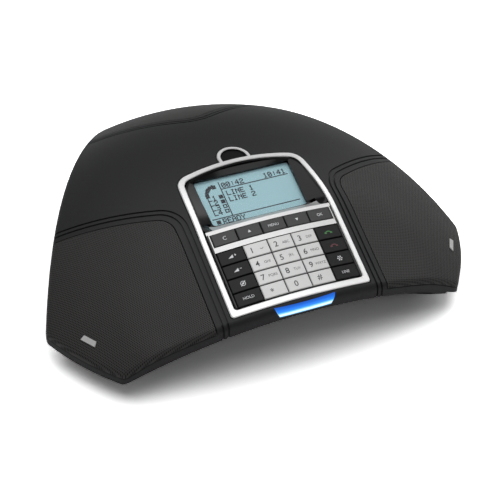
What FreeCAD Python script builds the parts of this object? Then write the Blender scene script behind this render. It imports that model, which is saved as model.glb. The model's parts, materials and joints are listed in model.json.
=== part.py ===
"""Desk conference phone: three speaker arms round a keypad and display, in millimetres.

The dome axis is vertical. While modelling, the axis is x = y = 0 and the table is z = 0;
every piece is moved along y at export, so that the origin is the middle of the footprint.
The front side faces -y. Arms point to the left front, the right front and the back.
"""
import FreeCAD
import Part
import math
import os

V = FreeCAD.Vector
ORIGIN = V(0, 0, 0)
UP = V(0, 0, 1)

# ---- Plan: a triangle with its three corners cut off -------------------------------
SIDE_REACH = 86.5          # axis to the middle of a long side
ARM_REACH = 117.4          # axis to the line between the two corners of an arm
ARM_END_WIDTH = 49.4       # between the two corners of an arm
END_BULGE = 2.3            # how far the end of an arm swells past that line
CORNER_RADIUS = 6.0        # plan rounding of the six corners
SIDE_ANGLES = {"front": -90, "right": 30, "left": 150}
ARM_ANGLES = {"left": 210, "right": 330, "back": 90}

# ---- Dome, facets and edges --------------------------------------------------------
TOTAL_HEIGHT = 67.0        # table to the crown
ARM_END_TOP = 20.3         # table to the sharp upper edge at the end of an arm, before rounding
FACET_SLOPE = 24.4         # degrees, of the facet on the front side
FACET_DROP = 4.1           # how far its lower edge lies below the dome's edge on the other sides
FACET_ARCH = 190.0         # its radius across, at that lower edge
ARCH_SWEEP = 90.0          # degrees, wide enough to cut the whole dome
FACET_STRAIGHT = 48.0      # length of the facet before it bends over to the crown
CROWN_MARGIN = 0.4         # the bend would end this much above the crown
CREASE_RADIUS = 60.0       # rounding between dome and facet
EDGE_RADIUS = 4.0          # rounding of the rim
WALL = 3.0                 # top cover
TOP_OF_ALL = 100.0         # any height above the crown

# ---- Speaker grilles ---------------------------------------------------------------
GRILLE_SIDE = 44.9         # middle of a long side to the edge of the grille beside it
GRILLE_CORNER = 12.0       # rounding of its inner corner
GRILLE_THICKNESS = 1.0
GRILLE_SEAT = 0.3          # room under the grille
GRILLE_GAP = 0.5           # dark gap all round it
GRILLE_DROP = 2.6          # how far its lower edge reaches down over the rim
GROOVE_OFFSETS = (3.0, 5.6)
GROOVE_WIDTH = 1.0
GROOVE_DEPTH = 0.7
BADGE_LENGTH = 8.8
BADGE_HEIGHT = 2.6
BADGE_PROUD = 0.4
BADGE_INSET = 3.8          # end of an arm to the middle of the bare plate on it

# ---- Underside ---------------------------------------------------------------------
FOOT_HEIGHT = 4.0
WALL_BAND = 6.4            # height of the wall under the facet, mid side
ARCH_RADIUS = 205.0
END_HEIGHT = 12.0          # the same at the end of an arm
KEEL_ANGLE = 41.0          # slope of the underside, inwards from the walls
KEEL_START = 5.0           # width of the level ledge before that slope
BASE_WALL = 2.4
LIP = 3.0                  # the base reaches this far up inside the skirt
COVER_CLEARANCE = 0.25
FOOT_RADIUS = 9.0
FOOT_INSET = 25.4          # end of an arm to the middle of its foot
FOOT_RECESS = 1.0
FOOT_CHAMFER = 0.6

# ---- Front panel, in panel lengths: s across, t up the facet, h out of it ----------
PANEL_START = 3.05         # rim edge to the lower edge of the frame
FRAME_HALF_FOOT = 36.7
FRAME_HALF_HEAD = 33.5
FRAME_BEND = 38.0          # t where its straight sides start to curve in
FRAME_SHOULDER = 82.2      # t of the corner, before rounding
FRAME_ARCH = 4.0           # rise of the head between the corners
FRAME_HEAD_CORNER = 8.0
FRAME_FOOT_CORNER = 1.6
FRAME_BAR = 3.4            # width of the foot bar
FRAME_RAIL = 2.8           # width of the side rails and head
FRAME_EDGE = 0.4           # cut of its upper edges
FRAME_PROUD = 0.5
FRAME_DEPTH = 2.2
PANEL_GAP = 0.4            # dark gap between the cover and the frame
PANEL_CUT = 24.0           # depth of the cover's opening, below the facet
TAB_HALF = 8.5             # half width of the microphone tab
TAB_TOP = 96.0             # t of its end
TAB_RAIL = 1.8
SURROUND_BACK = 7.7        # depth of the display surround behind the keys
SURROUND_WALL = 1.8        # its wall behind the funnel
SURROUND_FLANGE = 3.0      # how far it reaches under the cover
SURROUND_FOOT = 2.0        # t of its lower edge, clear of the base's lip
FLANGE_THICKNESS = 1.9
FIT = 0.05                 # play between faces that seat on each other
FRAME_SEAT = 0.15          # the same between the frame and the surround behind it

# ---- Display -----------------------------------------------------------------------
LCD_HALF_WIDTH = 24.0
LCD_HALF_HEIGHT = 12.2
LCD_CENTRE = 64.4          # t
LCD_DEPTH = 10.0           # below the facet, at its centre
LCD_TILT = 3.2             # degrees, head end deeper
FUNNEL_TILT = 12.5         # degrees, of the mouth of the funnel
FUNNEL_MARGIN = 0.4        # its mouth inside the frame
FUNNEL_CORNER = 5.0
FUNNEL_SINK = 1.6          # its mouth below the facet, at the foot
LCD_CORNER = 0.8
WINDOW_THICKNESS = 1.2
WINDOW_BORDER = 1.7
WINDOW_PLAY = 0.2
LCD_THICKNESS = 4.0
LCD_BORDER = 2.8
LCD_PLAY = 0.3
POCKET_DEPTH = 4.6         # depth of the surround's walls round the display

# ---- Keys --------------------------------------------------------------------------
KEY_WIDTH = 12.6           # column pitch of the number keys
SIDE_KEY_WIDTH = 13.4      # the same of the two outer columns
MENU_KEY_WIDTH = 12.7
KEY_HEIGHT = 7.5           # row pitch of the number block
KEY_GAP = 0.4
BLOCK_FOOT = 3.7           # t of the lowest row's lower edge
MENU_FOOT = 36.9           # t of the menu row
MENU_HEIGHT = 6.6
KEY_PROUD = 1.0            # key tops above the facet
KEY_DEPTH = 4.4            # flat key undersides below the middle of the facet
KEY_CHAMFER = 0.35
KEY_REST_GAP = 0.75        # key to the mat under it, a little more than its travel
KEYPAD_PROUD = 0.7         # key surround above the facet
KEYPAD_BORDER = 1.1        # key surround outside the keys
KEYPAD_HEAD = 1.3          # the same above the menu row
KEYPAD_EDGE = 0.4
PAD_RISE = 0.3             # pads above the mat's sheet
MAT_THICKNESS = 1.0
BOARD_THICKNESS = 1.2      # all circuit boards
MAT_BORDER = 1.6
MAT_CLEARANCE = 0.25
SLOPE_MARGIN = 5.0         # key surround's slope beyond the display's sides
SLOPE_LIFT = 2.0           # its lowest point above the display's depth
KEYPAD_CORNER = 1.6

# ---- Microphone --------------------------------------------------------------------
MIC_REACH = 3.5            # y of the capsule
MIC_RADIUS = 4.85
MIC_HEIGHT = 5.0
BOOT_WALL = 1.2
BOOT_FLOOR = 1.2
BOOT_PLAY = 0.1
BOOT_TOP_GAP = 0.3         # the boot's rim below the surround's face
MESH_SINK = 0.6            # the tab's cover plate below the dome

# ---- Speakers ----------------------------------------------------------------------
SPEAKER_INSET = 30.4       # end of an arm to the speaker's axis
SPEAKER_RADIUS = 25.0
BAFFLE_DEPTH = 8.0         # dome to the speaker's flange
BAFFLE_WALL = 1.8
FLANGE_HEIGHT = 1.2
CONE_RADIUS = 21.5
CONE_THICKNESS = 0.6
CONE_PLAY = 0.2            # cone to basket
CONE_EDGE = 3.0            # width of its level edge, with the play
BASKET_DEPTH = 11.0
BASKET_WALL = 1.0
MAGNET_RADIUS = 14.5
MAGNET_HEIGHT = 8.0
SLOT_WIDTH = 6.2
SLOT_PITCH = 8.6
SLOT_COUNT = 5
SLOT_MARGIN = 1.0          # slots' ends to the baffle

# ---- Light lens --------------------------------------------------------------------
LENS_HALF_TOP = 16.0
LENS_HALF_FOOT = 13.5
LENS_HEIGHT = 5.0
LENS_GAP = 0.1

# ---- Electronics and sockets in the base -------------------------------------------
BOARD_RADIUS = 48.0
BOARD_HEIGHT = 24.0        # table to the underside of the main board
STANDOFF_REACH = 43.0
STANDOFF_RADIUS = 3.5
BAY_HALF = 22.0
BAY_FRONT = -20.0
BAY_BACK = 25.0
BAY_HEIGHT = 21.5
BAY_WALL = 2.2
CHANNEL_WIDTH = 10.0
CHANNEL_DEPTH = 6.0
CHANNEL_CENTRE = 13.0      # y
CHANNEL_END = 80.0
NETWORK = {"x": -12.5, "width": 16.0, "height": 13.5, "depth": 21.0, "hole": (11.8, 8.0, 13.0)}
ACCESSORY = {"x": 2.5, "width": 12.0, "height": 11.5, "depth": 16.0, "hole": (9.6, 6.8, 12.0)}
POWER = {"x": 15.0, "width": 9.0, "height": 11.0, "depth": 14.0, "hole": (6.4, 6.4, 9.5)}
PIN_RADIUS = 1.0
SOCKET_PLAY = 0.2
LATCH_HEIGHT = 1.6

# ---- Screws ------------------------------------------------------------------------
SCREW_REACH = 54.0
SCREW_RADIUS = 1.5
SCREW_HEAD_RADIUS = 2.9
SCREW_HEAD_HEIGHT = 2.2
SCREW_SINK = 0.4           # heads below the bottom of the base
SCREW_LENGTH = 12.0
SCREW_PLAY = 0.05
BOSS_RADIUS = 3.8
BOSS_JOINT = 9.5           # table to where the bosses of base and cover meet
BOARD_SCREW_RADIUS = 1.25
BOARD_SCREW_HEAD = 2.4
BOARD_SCREW_HEAD_HEIGHT = 1.6
BOARD_SCREW_LENGTH = 7.0

ARM_SAG = TOTAL_HEIGHT - ARM_END_TOP
DOME_RADIUS = (ARM_REACH ** 2 + ARM_SAG ** 2) / (2 * ARM_SAG)
DOME_CENTRE = TOTAL_HEIGHT - DOME_RADIUS
FACET_EDGE_HEIGHT = DOME_CENTRE + math.sqrt(DOME_RADIUS ** 2 - SIDE_REACH ** 2) - FACET_DROP
ARCH_TOP = FACET_EDGE_HEIGHT - WALL_BAND   # table to the lower edge of the wall, mid side
SPEAKER_REACH = ARM_REACH - SPEAKER_INSET
FOOT_REACH = ARM_REACH - FOOT_INSET
BADGE_REACH = ARM_REACH - BADGE_INSET
CUT_SHARE = 2 - math.sqrt(2)   # a flat cut touches the rounding that it stands for
SLOPE = math.radians(FACET_SLOPE)
KEEL_SLOPE = math.tan(math.radians(KEEL_ANGLE))
SCREW_SEAT = FOOT_HEIGHT + SCREW_HEAD_HEIGHT + SCREW_SINK
SCREW_TOP = SCREW_SEAT + SCREW_LENGTH
ORIGIN_SHIFT = (SIDE_REACH - ARM_REACH - END_BULGE) / 2


# ---- Small helpers -----------------------------------------------------------------
def turned(shape, angle):
    """A copy turned about the dome axis."""
    copy = shape.copy()
    copy.rotate(ORIGIN, UP, angle)
    return copy


def polar(along, across, angle):
    """A point `along` a direction in plan and `across` it."""
    a = math.radians(angle)
    return V(along * math.cos(a) - across * math.sin(a), along * math.sin(a) + across * math.cos(a), 0)


def box(x, y, z):
    """A box from three (low, high) pairs."""
    return Part.makeBox(x[1] - x[0], y[1] - y[0], z[1] - z[0], V(x[0], y[0], z[0]))


def rod(radius, z, x=0.0, y=0.0):
    """An upright cylinder from a (low, high) pair."""
    return Part.makeCylinder(radius, z[1] - z[0], V(x, y, z[0]))


def spun(points):
    """A profile of (radius, height) points revolved about the upright axis."""
    wire = Part.makePolygon([V(r, 0, z) for r, z in points + points[:1]])
    return Part.Face(wire).revolve(ORIGIN, UP, 360)


def arc(a, b, c):
    return Part.Arc(a, b, c).toShape()


def fused(shapes):
    return shapes[0].fuse(shapes[1:]) if len(shapes) > 1 else shapes[0]


# ---- The form that all shell pieces share ------------------------------------------
def plan(inset):
    """The plan outline, moved inwards by inset, with its rounded corners."""
    edges = []
    for side in SIDE_ANGLES.values():
        foot = polar(ARM_REACH, ARM_END_WIDTH / 2, side - 60)
        head = polar(ARM_REACH, -ARM_END_WIDTH / 2, side + 60)
        edges.append(arc(foot, polar(SIDE_REACH, 0, side), head))
        nose = polar(ARM_REACH + END_BULGE, 0, side + 60)
        edges.append(arc(head, nose, polar(ARM_REACH, ARM_END_WIDTH / 2, side + 60)))
    sharp = Part.Wire(edges)
    if inset >= CORNER_RADIUS:
        return sharp.makeOffset2D(-inset, 2)
    return sharp.makeOffset2D(-CORNER_RADIUS, 2).makeOffset2D(CORNER_RADIUS - inset, 0)


def prism(inset, low=0.0, high=TOP_OF_ALL):
    """The plan outline as an upright block."""
    solid = Part.Face(plan(inset)).extrude(V(0, 0, high - low))
    solid.translate(V(0, 0, low))
    return solid


def facet_bend():
    """Start of the bend, its centre and its radius, as (distance from the axis, height)."""
    start = (SIDE_REACH - FACET_STRAIGHT * math.cos(SLOPE),
             FACET_EDGE_HEIGHT + FACET_STRAIGHT * math.sin(SLOPE))
    radius = (TOTAL_HEIGHT + CROWN_MARGIN - start[1]) / (1 - math.cos(SLOPE))
    return start, (start[0] - radius * math.sin(SLOPE), start[1] - radius * math.cos(SLOPE)), radius


def arched(profile):
    """A profile in the plane x = 0 revolved to both sides about the facet's level axis."""
    centre, direction = V(0, 0, FACET_EDGE_HEIGHT - FACET_ARCH), V(0, 1, 0)
    face = Part.Face(profile)
    face.rotate(centre, direction, -ARCH_SWEEP / 2)
    return face.revolve(centre, direction, ARCH_SWEEP)


def facet_slab(low, high):
    """The layer between two distances from the straight part of the facet."""
    def point(run, offset):
        return V(0, run * math.cos(SLOPE) - offset * math.sin(SLOPE) - SIDE_REACH,
                 FACET_EDGE_HEIGHT + run * math.sin(SLOPE) + offset * math.cos(SLOPE))

    ends = (-2 * WALL, FACET_STRAIGHT + 2 * WALL)
    corners = [point(ends[0], low), point(ends[1], low), point(ends[1], high), point(ends[0], high)]
    return arched(Part.makePolygon(corners + corners[:1]))


def above_facet(offset):
    """Everything above the front facet and its bend, moved outwards by offset."""
    start, centre, radius = facet_bend()
    reach = radius + offset

    def point(out, height):
        return V(0, -out, height)

    def on_bend(angle):
        return point(centre[0] + reach * math.sin(angle), centre[1] + reach * math.cos(angle))

    run = SIDE_REACH
    far = point(start[0] + run * math.cos(SLOPE) + offset * math.sin(SLOPE),
                start[1] - run * math.sin(SLOPE) + offset * math.cos(SLOPE))
    roof, roof_far = point(centre[0], 2 * TOP_OF_ALL), V(far.x, far.y, 2 * TOP_OF_ALL)
    edges = [Part.makeLine(far, on_bend(SLOPE)), arc(on_bend(SLOPE), on_bend(SLOPE / 2), on_bend(0)),
             Part.makeLine(on_bend(0), roof), Part.makeLine(roof, roof_far), Part.makeLine(roof_far, far)]
    return arched(Part.Wire(edges))


def creases(shape):
    """The edges where the dome meets the facet or its bend."""
    found = []
    for edge in shape.Edges:
        if edge.Degenerated:
            continue
        middle = edge.valueAt((edge.FirstParameter + edge.LastParameter) / 2)
        kinds = {f.Surface.TypeId for f in shape.Faces if any(e.isSame(edge) for e in f.Edges)}
        near = middle.z > 0 and middle.Length < 1.5 * ARM_REACH
        if near and "Part::GeomSphere" in kinds and len(kinds) == 2:
            found.append(edge)
    return found


def lid(offset):
    """The dome with its front facet, moved outwards by offset: a solid that reaches far below."""
    dome = Part.makeSphere(DOME_RADIUS + offset)
    dome.rotate(ORIGIN, V(0, 1, 0), 90)   # its poles and its seam lie outside the form
    dome.translate(V(0, 0, DOME_CENTRE))
    solid = dome.cut(above_facet(offset)).Solids[0]
    return solid.makeFillet(CREASE_RADIUS + offset, creases(solid)) if offset > -1 else solid


def rim_edges(shape, outline):
    """The upper edges of a block that lie above its plan outline."""
    found = []
    for edge in shape.Edges:
        if edge.Degenerated:
            continue
        middle = (edge.FirstParameter + edge.LastParameter) / 2
        point, heading = edge.valueAt(middle), edge.tangentAt(middle)
        on_wall = outline.distToShape(Part.Vertex(V(point.x, point.y, 0)))[0] < 1e-3
        if point.z > 1 and abs(heading.z) < 0.9 and on_wall:
            found.append(edge)
    return found


BODIES = {}
LIDS = {}


def body(inset):
    """The whole outer form, moved inwards by inset, solid down to the table."""
    if inset not in BODIES:
        block = lid_at(-inset).common(prism(inset))
        rounding = max(EDGE_RADIUS - inset, 0.2 * EDGE_RADIUS)
        rim = rim_edges(block, plan(inset))
        if inset:
            BODIES[inset] = block.makeChamfer(CUT_SHARE * rounding, rim)
        else:
            BODIES[inset] = block.makeFillet(rounding, rim)
    return BODIES[inset]


def lid_at(offset):
    if offset not in LIDS:
        LIDS[offset] = lid(offset)
    return LIDS[offset]


def under(rise):
    """The space below the lower edge of the walls, moved up by rise."""
    shapes = [box((-2 * ARM_REACH, 2 * ARM_REACH), (-2 * ARM_REACH, 2 * ARM_REACH), (-1, END_HEIGHT + rise))]
    length = 0.7 * SIDE_REACH
    start = V(0, -1.2 * SIDE_REACH, ARCH_TOP - ARCH_RADIUS + rise)
    barrel = Part.makeCylinder(ARCH_RADIUS, length, start, V(0, 1, 0))
    shapes += [turned(barrel, angle - SIDE_ANGLES["front"]) for angle in SIDE_ANGLES.values()]
    return fused(shapes)


# ---- Top cover ---------------------------------------------------------------------
def arm_prism(widening):
    """Plan of a grille as a block on the arm along +x: two edges square to the long sides."""
    tip = (GRILLE_SIDE - widening) / math.sin(math.radians(60))
    run = 1.2 * ARM_REACH
    across = run * math.sin(math.radians(60))
    far = 2 * ARM_REACH
    corners = [V(tip, 0, 0), V(tip + run / 2, across, 0), V(far, across, 0), V(far, -across, 0),
               V(tip + run / 2, -across, 0), V(tip, 0, 0)]
    block = Part.Face(Part.makePolygon(corners)).extrude(V(0, 0, TOP_OF_ALL))
    inner = [e for e in block.Edges if all(abs(v.X - tip) < 1e-6 for v in e.Vertexes)]
    return block.makeFillet(GRILLE_CORNER + widening, inner)


def grille_zone(angle, clearance):
    """The part of an arm that its grille covers, down to its lower edge over the rim."""
    low = lid_at(0).copy()
    low.translate(V(0, 0, clearance - GRILLE_DROP))
    return turned(arm_prism(-clearance), angle).cut(low)


def grooves(angle):
    """The two lines that follow a grille at a distance and run down the wall."""
    rings = [arm_prism(d + GROOVE_WIDTH / 2).cut(arm_prism(d - GROOVE_WIDTH / 2)) for d in GROOVE_OFFSETS]
    return [turned(ring, angle).cut(body(GROOVE_DEPTH)) for ring in rings]


def on_speaker(shape, angle):
    """Moves a shape from the upright axis to a speaker's axis, height 0 on the dome."""
    tilt = math.asin(SPEAKER_REACH / DOME_RADIUS)
    height = DOME_CENTRE + DOME_RADIUS * math.cos(tilt)
    moved = shape.copy()
    moved.rotate(ORIGIN, V(0, 1, 0), math.degrees(tilt))
    moved.translate(V(SPEAKER_REACH, 0, height))
    return turned(moved, angle)


def speaker_slots(angle):
    """Parallel sound slots under a grille, with bars left between them."""
    disc = rod(SPEAKER_RADIUS - BAFFLE_WALL - SLOT_MARGIN, (-2 * BAFFLE_DEPTH, BAFFLE_DEPTH))
    bars = []
    for i in range(SLOT_COUNT):
        middle = (i - (SLOT_COUNT - 1) / 2) * SLOT_PITCH
        across = (middle - SLOT_WIDTH / 2, middle + SLOT_WIDTH / 2)
        bars.append(box((-SPEAKER_RADIUS, SPEAKER_RADIUS), across, (-2 * BAFFLE_DEPTH, BAFFLE_DEPTH)))
    return on_speaker(disc.common(fused(bars)), angle)


def baffle(angle):
    """The ring under the cover that a speaker's flange seats on."""
    ring = rod(SPEAKER_RADIUS, (-BAFFLE_DEPTH, 0)).cut(rod(SPEAKER_RADIUS - BAFFLE_WALL, (-BAFFLE_DEPTH, 0)))
    return on_speaker(ring, angle).common(body(WALL - 0.5 * (WALL - GRILLE_THICKNESS - GRILLE_SEAT)))


def lens_block(grow):
    """The light lens as a block through the front wall, wider at its head."""
    top = FACET_EDGE_HEIGHT + grow
    foot = FACET_EDGE_HEIGHT - LENS_HEIGHT - grow
    outline = [V(-LENS_HALF_FOOT - grow, 0, foot), V(LENS_HALF_FOOT + grow, 0, foot),
               V(LENS_HALF_TOP + grow, 0, top), V(-LENS_HALF_TOP - grow, 0, top)]
    block = Part.Face(Part.makePolygon(outline + outline[:1])).extrude(V(0, 2 * WALL, 0))
    block.translate(V(0, -SIDE_REACH - WALL, 0))
    return block


def screw_boss(angle):
    """A boss under the cover that takes a case screw."""
    boss = rod(BOSS_RADIUS, (BOSS_JOINT, TOP_OF_ALL), SCREW_REACH)
    hole = rod(SCREW_RADIUS + SCREW_PLAY, (0, SCREW_TOP + 1), SCREW_REACH)
    return turned(boss.cut(hole), angle).common(body(WALL / 2))


def top_cover():
    """One moulding: dome, facet, walls, recessed speaker floors, baffles and screw bosses."""
    arms = ARM_ANGLES.values()
    shell = body(0).cut(body(WALL)).cut(under(0))
    shell = shell.fuse([baffle(a) for a in arms] + [screw_boss(a) for a in arms])
    shell = shell.cut([grille_zone(a, 0).cut(body(GRILLE_THICKNESS + GRILLE_SEAT)) for a in arms])
    shell = shell.cut([groove for a in arms for groove in grooves(a)])
    shell = shell.cut([lens_block(LENS_GAP), to_panel(frame_block(-PANEL_GAP, 0, PANEL_CUT))])
    return shell.cut([speaker_slots(a) for a in arms])


def grille(angle):
    """A thin domed skin that drops into its recess."""
    skin = body(0).cut(body(GRILLE_THICKNESS))
    return skin.common(grille_zone(angle, GRILLE_GAP))


def badge(angle):
    """A bare plate with cut ends on the nose of an arm."""
    tilt = math.asin(BADGE_REACH / DOME_RADIUS)
    half, edge = BADGE_LENGTH / 2, BADGE_HEIGHT / 2
    ends = [V(-edge, -half + edge / 2, 0), V(edge, -half, 0), V(edge, half, 0), V(-edge, half - edge / 2, 0)]
    plate = Part.Face(Part.makePolygon(ends + ends[:1])).extrude(V(0, 0, BADGE_PROUD + 2))
    plate.translate(V(0, 0, -2))
    plate.rotate(ORIGIN, V(0, 1, 0), math.degrees(tilt))
    plate.translate(V(BADGE_REACH, 0, DOME_CENTRE + DOME_RADIUS * math.cos(tilt)))
    return turned(plate, angle).cut(body(0))


# ---- Front panel -------------------------------------------------------------------
def to_panel(shape):
    """Moves a shape from panel lengths (s, t, h) to its place on the front facet."""
    moved = shape.copy()
    moved.rotate(ORIGIN, V(1, 0, 0), FACET_SLOPE)
    moved.translate(V(0, PANEL_START * math.cos(SLOPE) - SIDE_REACH,
                      FACET_EDGE_HEIGHT + PANEL_START * math.sin(SLOPE)))
    return moved


def rounded(wire, radius):
    """The same outline with its outer corners rounded."""
    return wire.makeOffset2D(-radius, 2).makeOffset2D(radius, 0)


def rounded_at(block, t, radius):
    """A block with its upright corners at one t rounded."""
    at_t = [e for e in block.Edges if all(abs(v.Y - t) < 1e-6 for v in e.Vertexes)]
    corners = [e for e in at_t if e.BoundBox.XLength < 1e-6]
    return block.makeFillet(radius, corners)


def flat_wire(half_width, half_height, radius):
    """A rectangle round the origin with rounded corners."""
    a, b = V(-half_width, -half_height, 0), V(half_width, -half_height, 0)
    return rounded(Part.makePolygon([a, b, -a, -b, a]), radius)


def frame_solid(shrink, foot, low, high):
    """The frame's outline moved inwards by shrink, from t = foot, as a block between two depths.

    Its sides run straight up to the bend and then curve in to an arched head.
    """
    half_foot, half_head = FRAME_HALF_FOOT - shrink, FRAME_HALF_HEAD - shrink
    shoulder, bend = FRAME_SHOULDER - shrink, FRAME_BEND
    waist = half_foot - (half_foot - half_head) / 4
    middle = (bend + shoulder) / 2
    feet = [V(-half_foot, foot, low), V(half_foot, foot, low)]
    bends = [V(-half_foot, bend, low), V(half_foot, bend, low)]
    heads = [V(-half_head, shoulder, low), V(half_head, shoulder, low)]
    edges = [Part.makeLine(feet[0], feet[1]), Part.makeLine(feet[1], bends[1]),
             arc(bends[1], V(waist, middle, low), heads[1]),
             arc(heads[1], V(0, shoulder + FRAME_ARCH, low), heads[0]),
             arc(heads[0], V(-waist, middle, low), bends[0]), Part.makeLine(bends[0], feet[0])]
    block = Part.Face(Part.Wire(edges)).extrude(V(0, 0, high - low))
    return rounded_at(rounded_at(block, foot, FRAME_FOOT_CORNER), shoulder, FRAME_HEAD_CORNER - shrink)


def tab_solid(half, low, high):
    """The microphone tab: a strip with a round end."""
    centre = TAB_TOP - TAB_HALF
    strip = box((-half, half), (FRAME_SHOULDER - FRAME_HEAD_CORNER, centre), (low, high))
    return strip.fuse(rod(half, (low, high), 0, centre))


def frame_block(shrink, bar, depth):
    """The whole front opening: frame outline and tab, as deep as needed."""
    high = 3 * WALL
    return frame_solid(shrink, bar + shrink, -depth, high).fuse(tab_solid(TAB_HALF - shrink, -depth, high))


def between(shape, high, low):
    """The layer of a shape that lies between two depths below the dome and facet."""
    return shape.common(lid_at(high)).cut(lid_at(low))


def panel_frame():
    """The bright frame with the ring round the microphone."""
    deep = 6 * WALL
    outer = frame_block(0, 0, deep)
    window = frame_solid(FRAME_RAIL, FRAME_BAR, -2 * deep, deep)
    hole = tab_solid(TAB_HALF - TAB_RAIL, -2 * deep, deep).cut(frame_solid(0, 0, -2 * deep, deep))
    frame = between(to_panel(outer.cut([window, hole])), FRAME_PROUD, -FRAME_DEPTH)
    return frame.makeChamfer(FRAME_EDGE, sharp_edges(frame, lid_at(FRAME_PROUD).Shells[0]))


def sharp_edges(shape, skin):
    """The sharp edges of a piece that lie on a skin."""
    found = []
    for edge in shape.Edges:
        if edge.Degenerated:
            continue
        middle = edge.valueAt((edge.FirstParameter + edge.LastParameter) / 2)
        faces = [f for f in shape.Faces if any(e.isSame(edge) for e in f.Edges)]
        normals = [f.normalAt(*f.Surface.parameter(middle)) for f in faces]
        if len(faces) == 2 and abs(normals[0].dot(normals[1])) < 0.5 and \
                skin.distToShape(Part.Vertex(middle))[0] < 0.01:
            found.append(edge)
    return found


def at_display(shape):
    """Moves a shape from the display's own plane into panel lengths."""
    moved = shape.copy()
    moved.rotate(ORIGIN, V(1, 0, 0), -LCD_TILT)
    moved.translate(V(0, LCD_CENTRE, -LCD_DEPTH))
    return moved


def funnel_mouth(grow):
    """The outline of the funnel's mouth, grown outwards, in its own level plane."""
    inset = FRAME_RAIL + FUNNEL_MARGIN - grow
    half_foot, half_head, shoulder = FRAME_HALF_FOOT - inset, FRAME_HALF_HEAD - inset, FRAME_SHOULDER - inset
    foot = PLATE_HEAD + KEYPAD_HEAD - grow
    a, b = V(-half_foot, foot, 0), V(half_foot, foot, 0)
    c, d = V(half_head, shoulder, 0), V(-half_head, shoulder, 0)
    edges = [Part.makeLine(a, b), Part.makeLine(b, c), arc(c, V(0, shoulder + FRAME_ARCH, 0), d),
             Part.makeLine(d, a)]
    return rounded(Part.Wire(edges), FUNNEL_CORNER + grow)


def funnel(grow=0.0):
    """The space from the display's edge out to the frame, grown outwards, in panel lengths."""
    small = flat_wire(LCD_HALF_WIDTH + grow, LCD_HALF_HEIGHT + grow, LCD_CORNER + grow)
    wide = funnel_mouth(grow)
    wide.rotate(V(0, PLATE_HEAD, 0), V(1, 0, 0), -FUNNEL_TILT)
    wide.translate(V(0, 0, -FUNNEL_SINK))
    cone = Part.makeLoft([at_display(small), wide], True, True)
    return cone.fuse(Part.Face(wide).extrude(V(0, 0, 6 * WALL)))


BLOCK_HALF = 1.5 * KEY_WIDTH + SIDE_KEY_WIDTH
BLOCK_HEAD = BLOCK_FOOT + 4 * KEY_HEIGHT
MENU_HALF = 2.5 * MENU_KEY_WIDTH
MENU_HEAD = MENU_FOOT + MENU_HEIGHT
PLATE_HEAD = MENU_HEAD + KEYPAD_HEAD
PLATE_HALF = BLOCK_HALF + KEYPAD_BORDER
PLATE_FOOT = FRAME_BAR + FIT
PAD_TOP = KEY_DEPTH + KEY_REST_GAP         # below the middle of the facet
MAT_DEPTH = PAD_TOP + PAD_RISE             # top of the mat's sheet, likewise
MAT_HEAD = MENU_HEAD + 0.5 * MAT_BORDER


def key_openings():
    """The menu slot and the number block's slot, through everything."""
    depth = (-2 * LCD_DEPTH, 2 * WALL)
    grow = KEY_GAP / 2
    block = box((-BLOCK_HALF - grow, BLOCK_HALF + grow), (BLOCK_FOOT - 2, BLOCK_HEAD + grow), depth)
    menu = box((-MENU_HALF - grow, MENU_HALF + grow), (MENU_FOOT - grow, MENU_HEAD + grow), depth)
    return [block, menu]


def slope_block(grow):
    """The back of the key surround, which slopes down to the display behind the key mat."""
    half = LCD_HALF_WIDTH + SLOPE_MARGIN + grow
    end = LCD_CENTRE - LCD_HALF_HEIGHT + grow
    sill = box((-half, half), (PLATE_HEAD - 0.5, end), (-KEY_DEPTH - grow, 2 * WALL))
    wedge = box((-half, half), (MAT_HEAD + MAT_CLEARANCE + 2 * FIT - grow, end),
                (-LCD_DEPTH + SLOPE_LIFT - grow, 2 * WALL))
    return sill.fuse(wedge)


def key_surround():
    """The bright plate round the keys, with its sloping back."""
    a, b = V(-PLATE_HALF, PLATE_FOOT, 0), V(PLATE_HALF, PLATE_FOOT, 0)
    c, d = V(PLATE_HALF, PLATE_HEAD, 0), V(-PLATE_HALF, PLATE_HEAD, 0)
    outline = rounded(Part.makePolygon([a, b, c, d, a]), KEYPAD_CORNER)
    plate = Part.Face(outline).extrude(V(0, 0, KEY_DEPTH + 2 * WALL))
    plate.translate(V(0, 0, -KEY_DEPTH))
    whole = to_panel(plate.fuse(slope_block(0)).cut(funnel()))
    whole = whole.common(facet_slab(-2 * LCD_DEPTH, KEYPAD_PROUD))
    top = max(whole.Faces, key=lambda face: face.Area)
    whole = whole.Solids[0].makeChamfer(KEYPAD_EDGE, top.Edges)
    return whole.cut([to_panel(opening) for opening in key_openings()])


def display_box(border, low, high):
    """A block round the display's middle, larger than its window by border, in panel lengths."""
    half_width, half_height = LCD_HALF_WIDTH + border, LCD_HALF_HEIGHT + border
    return at_display(box((-half_width, half_width), (-half_height, half_height), (low, high)))


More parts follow.
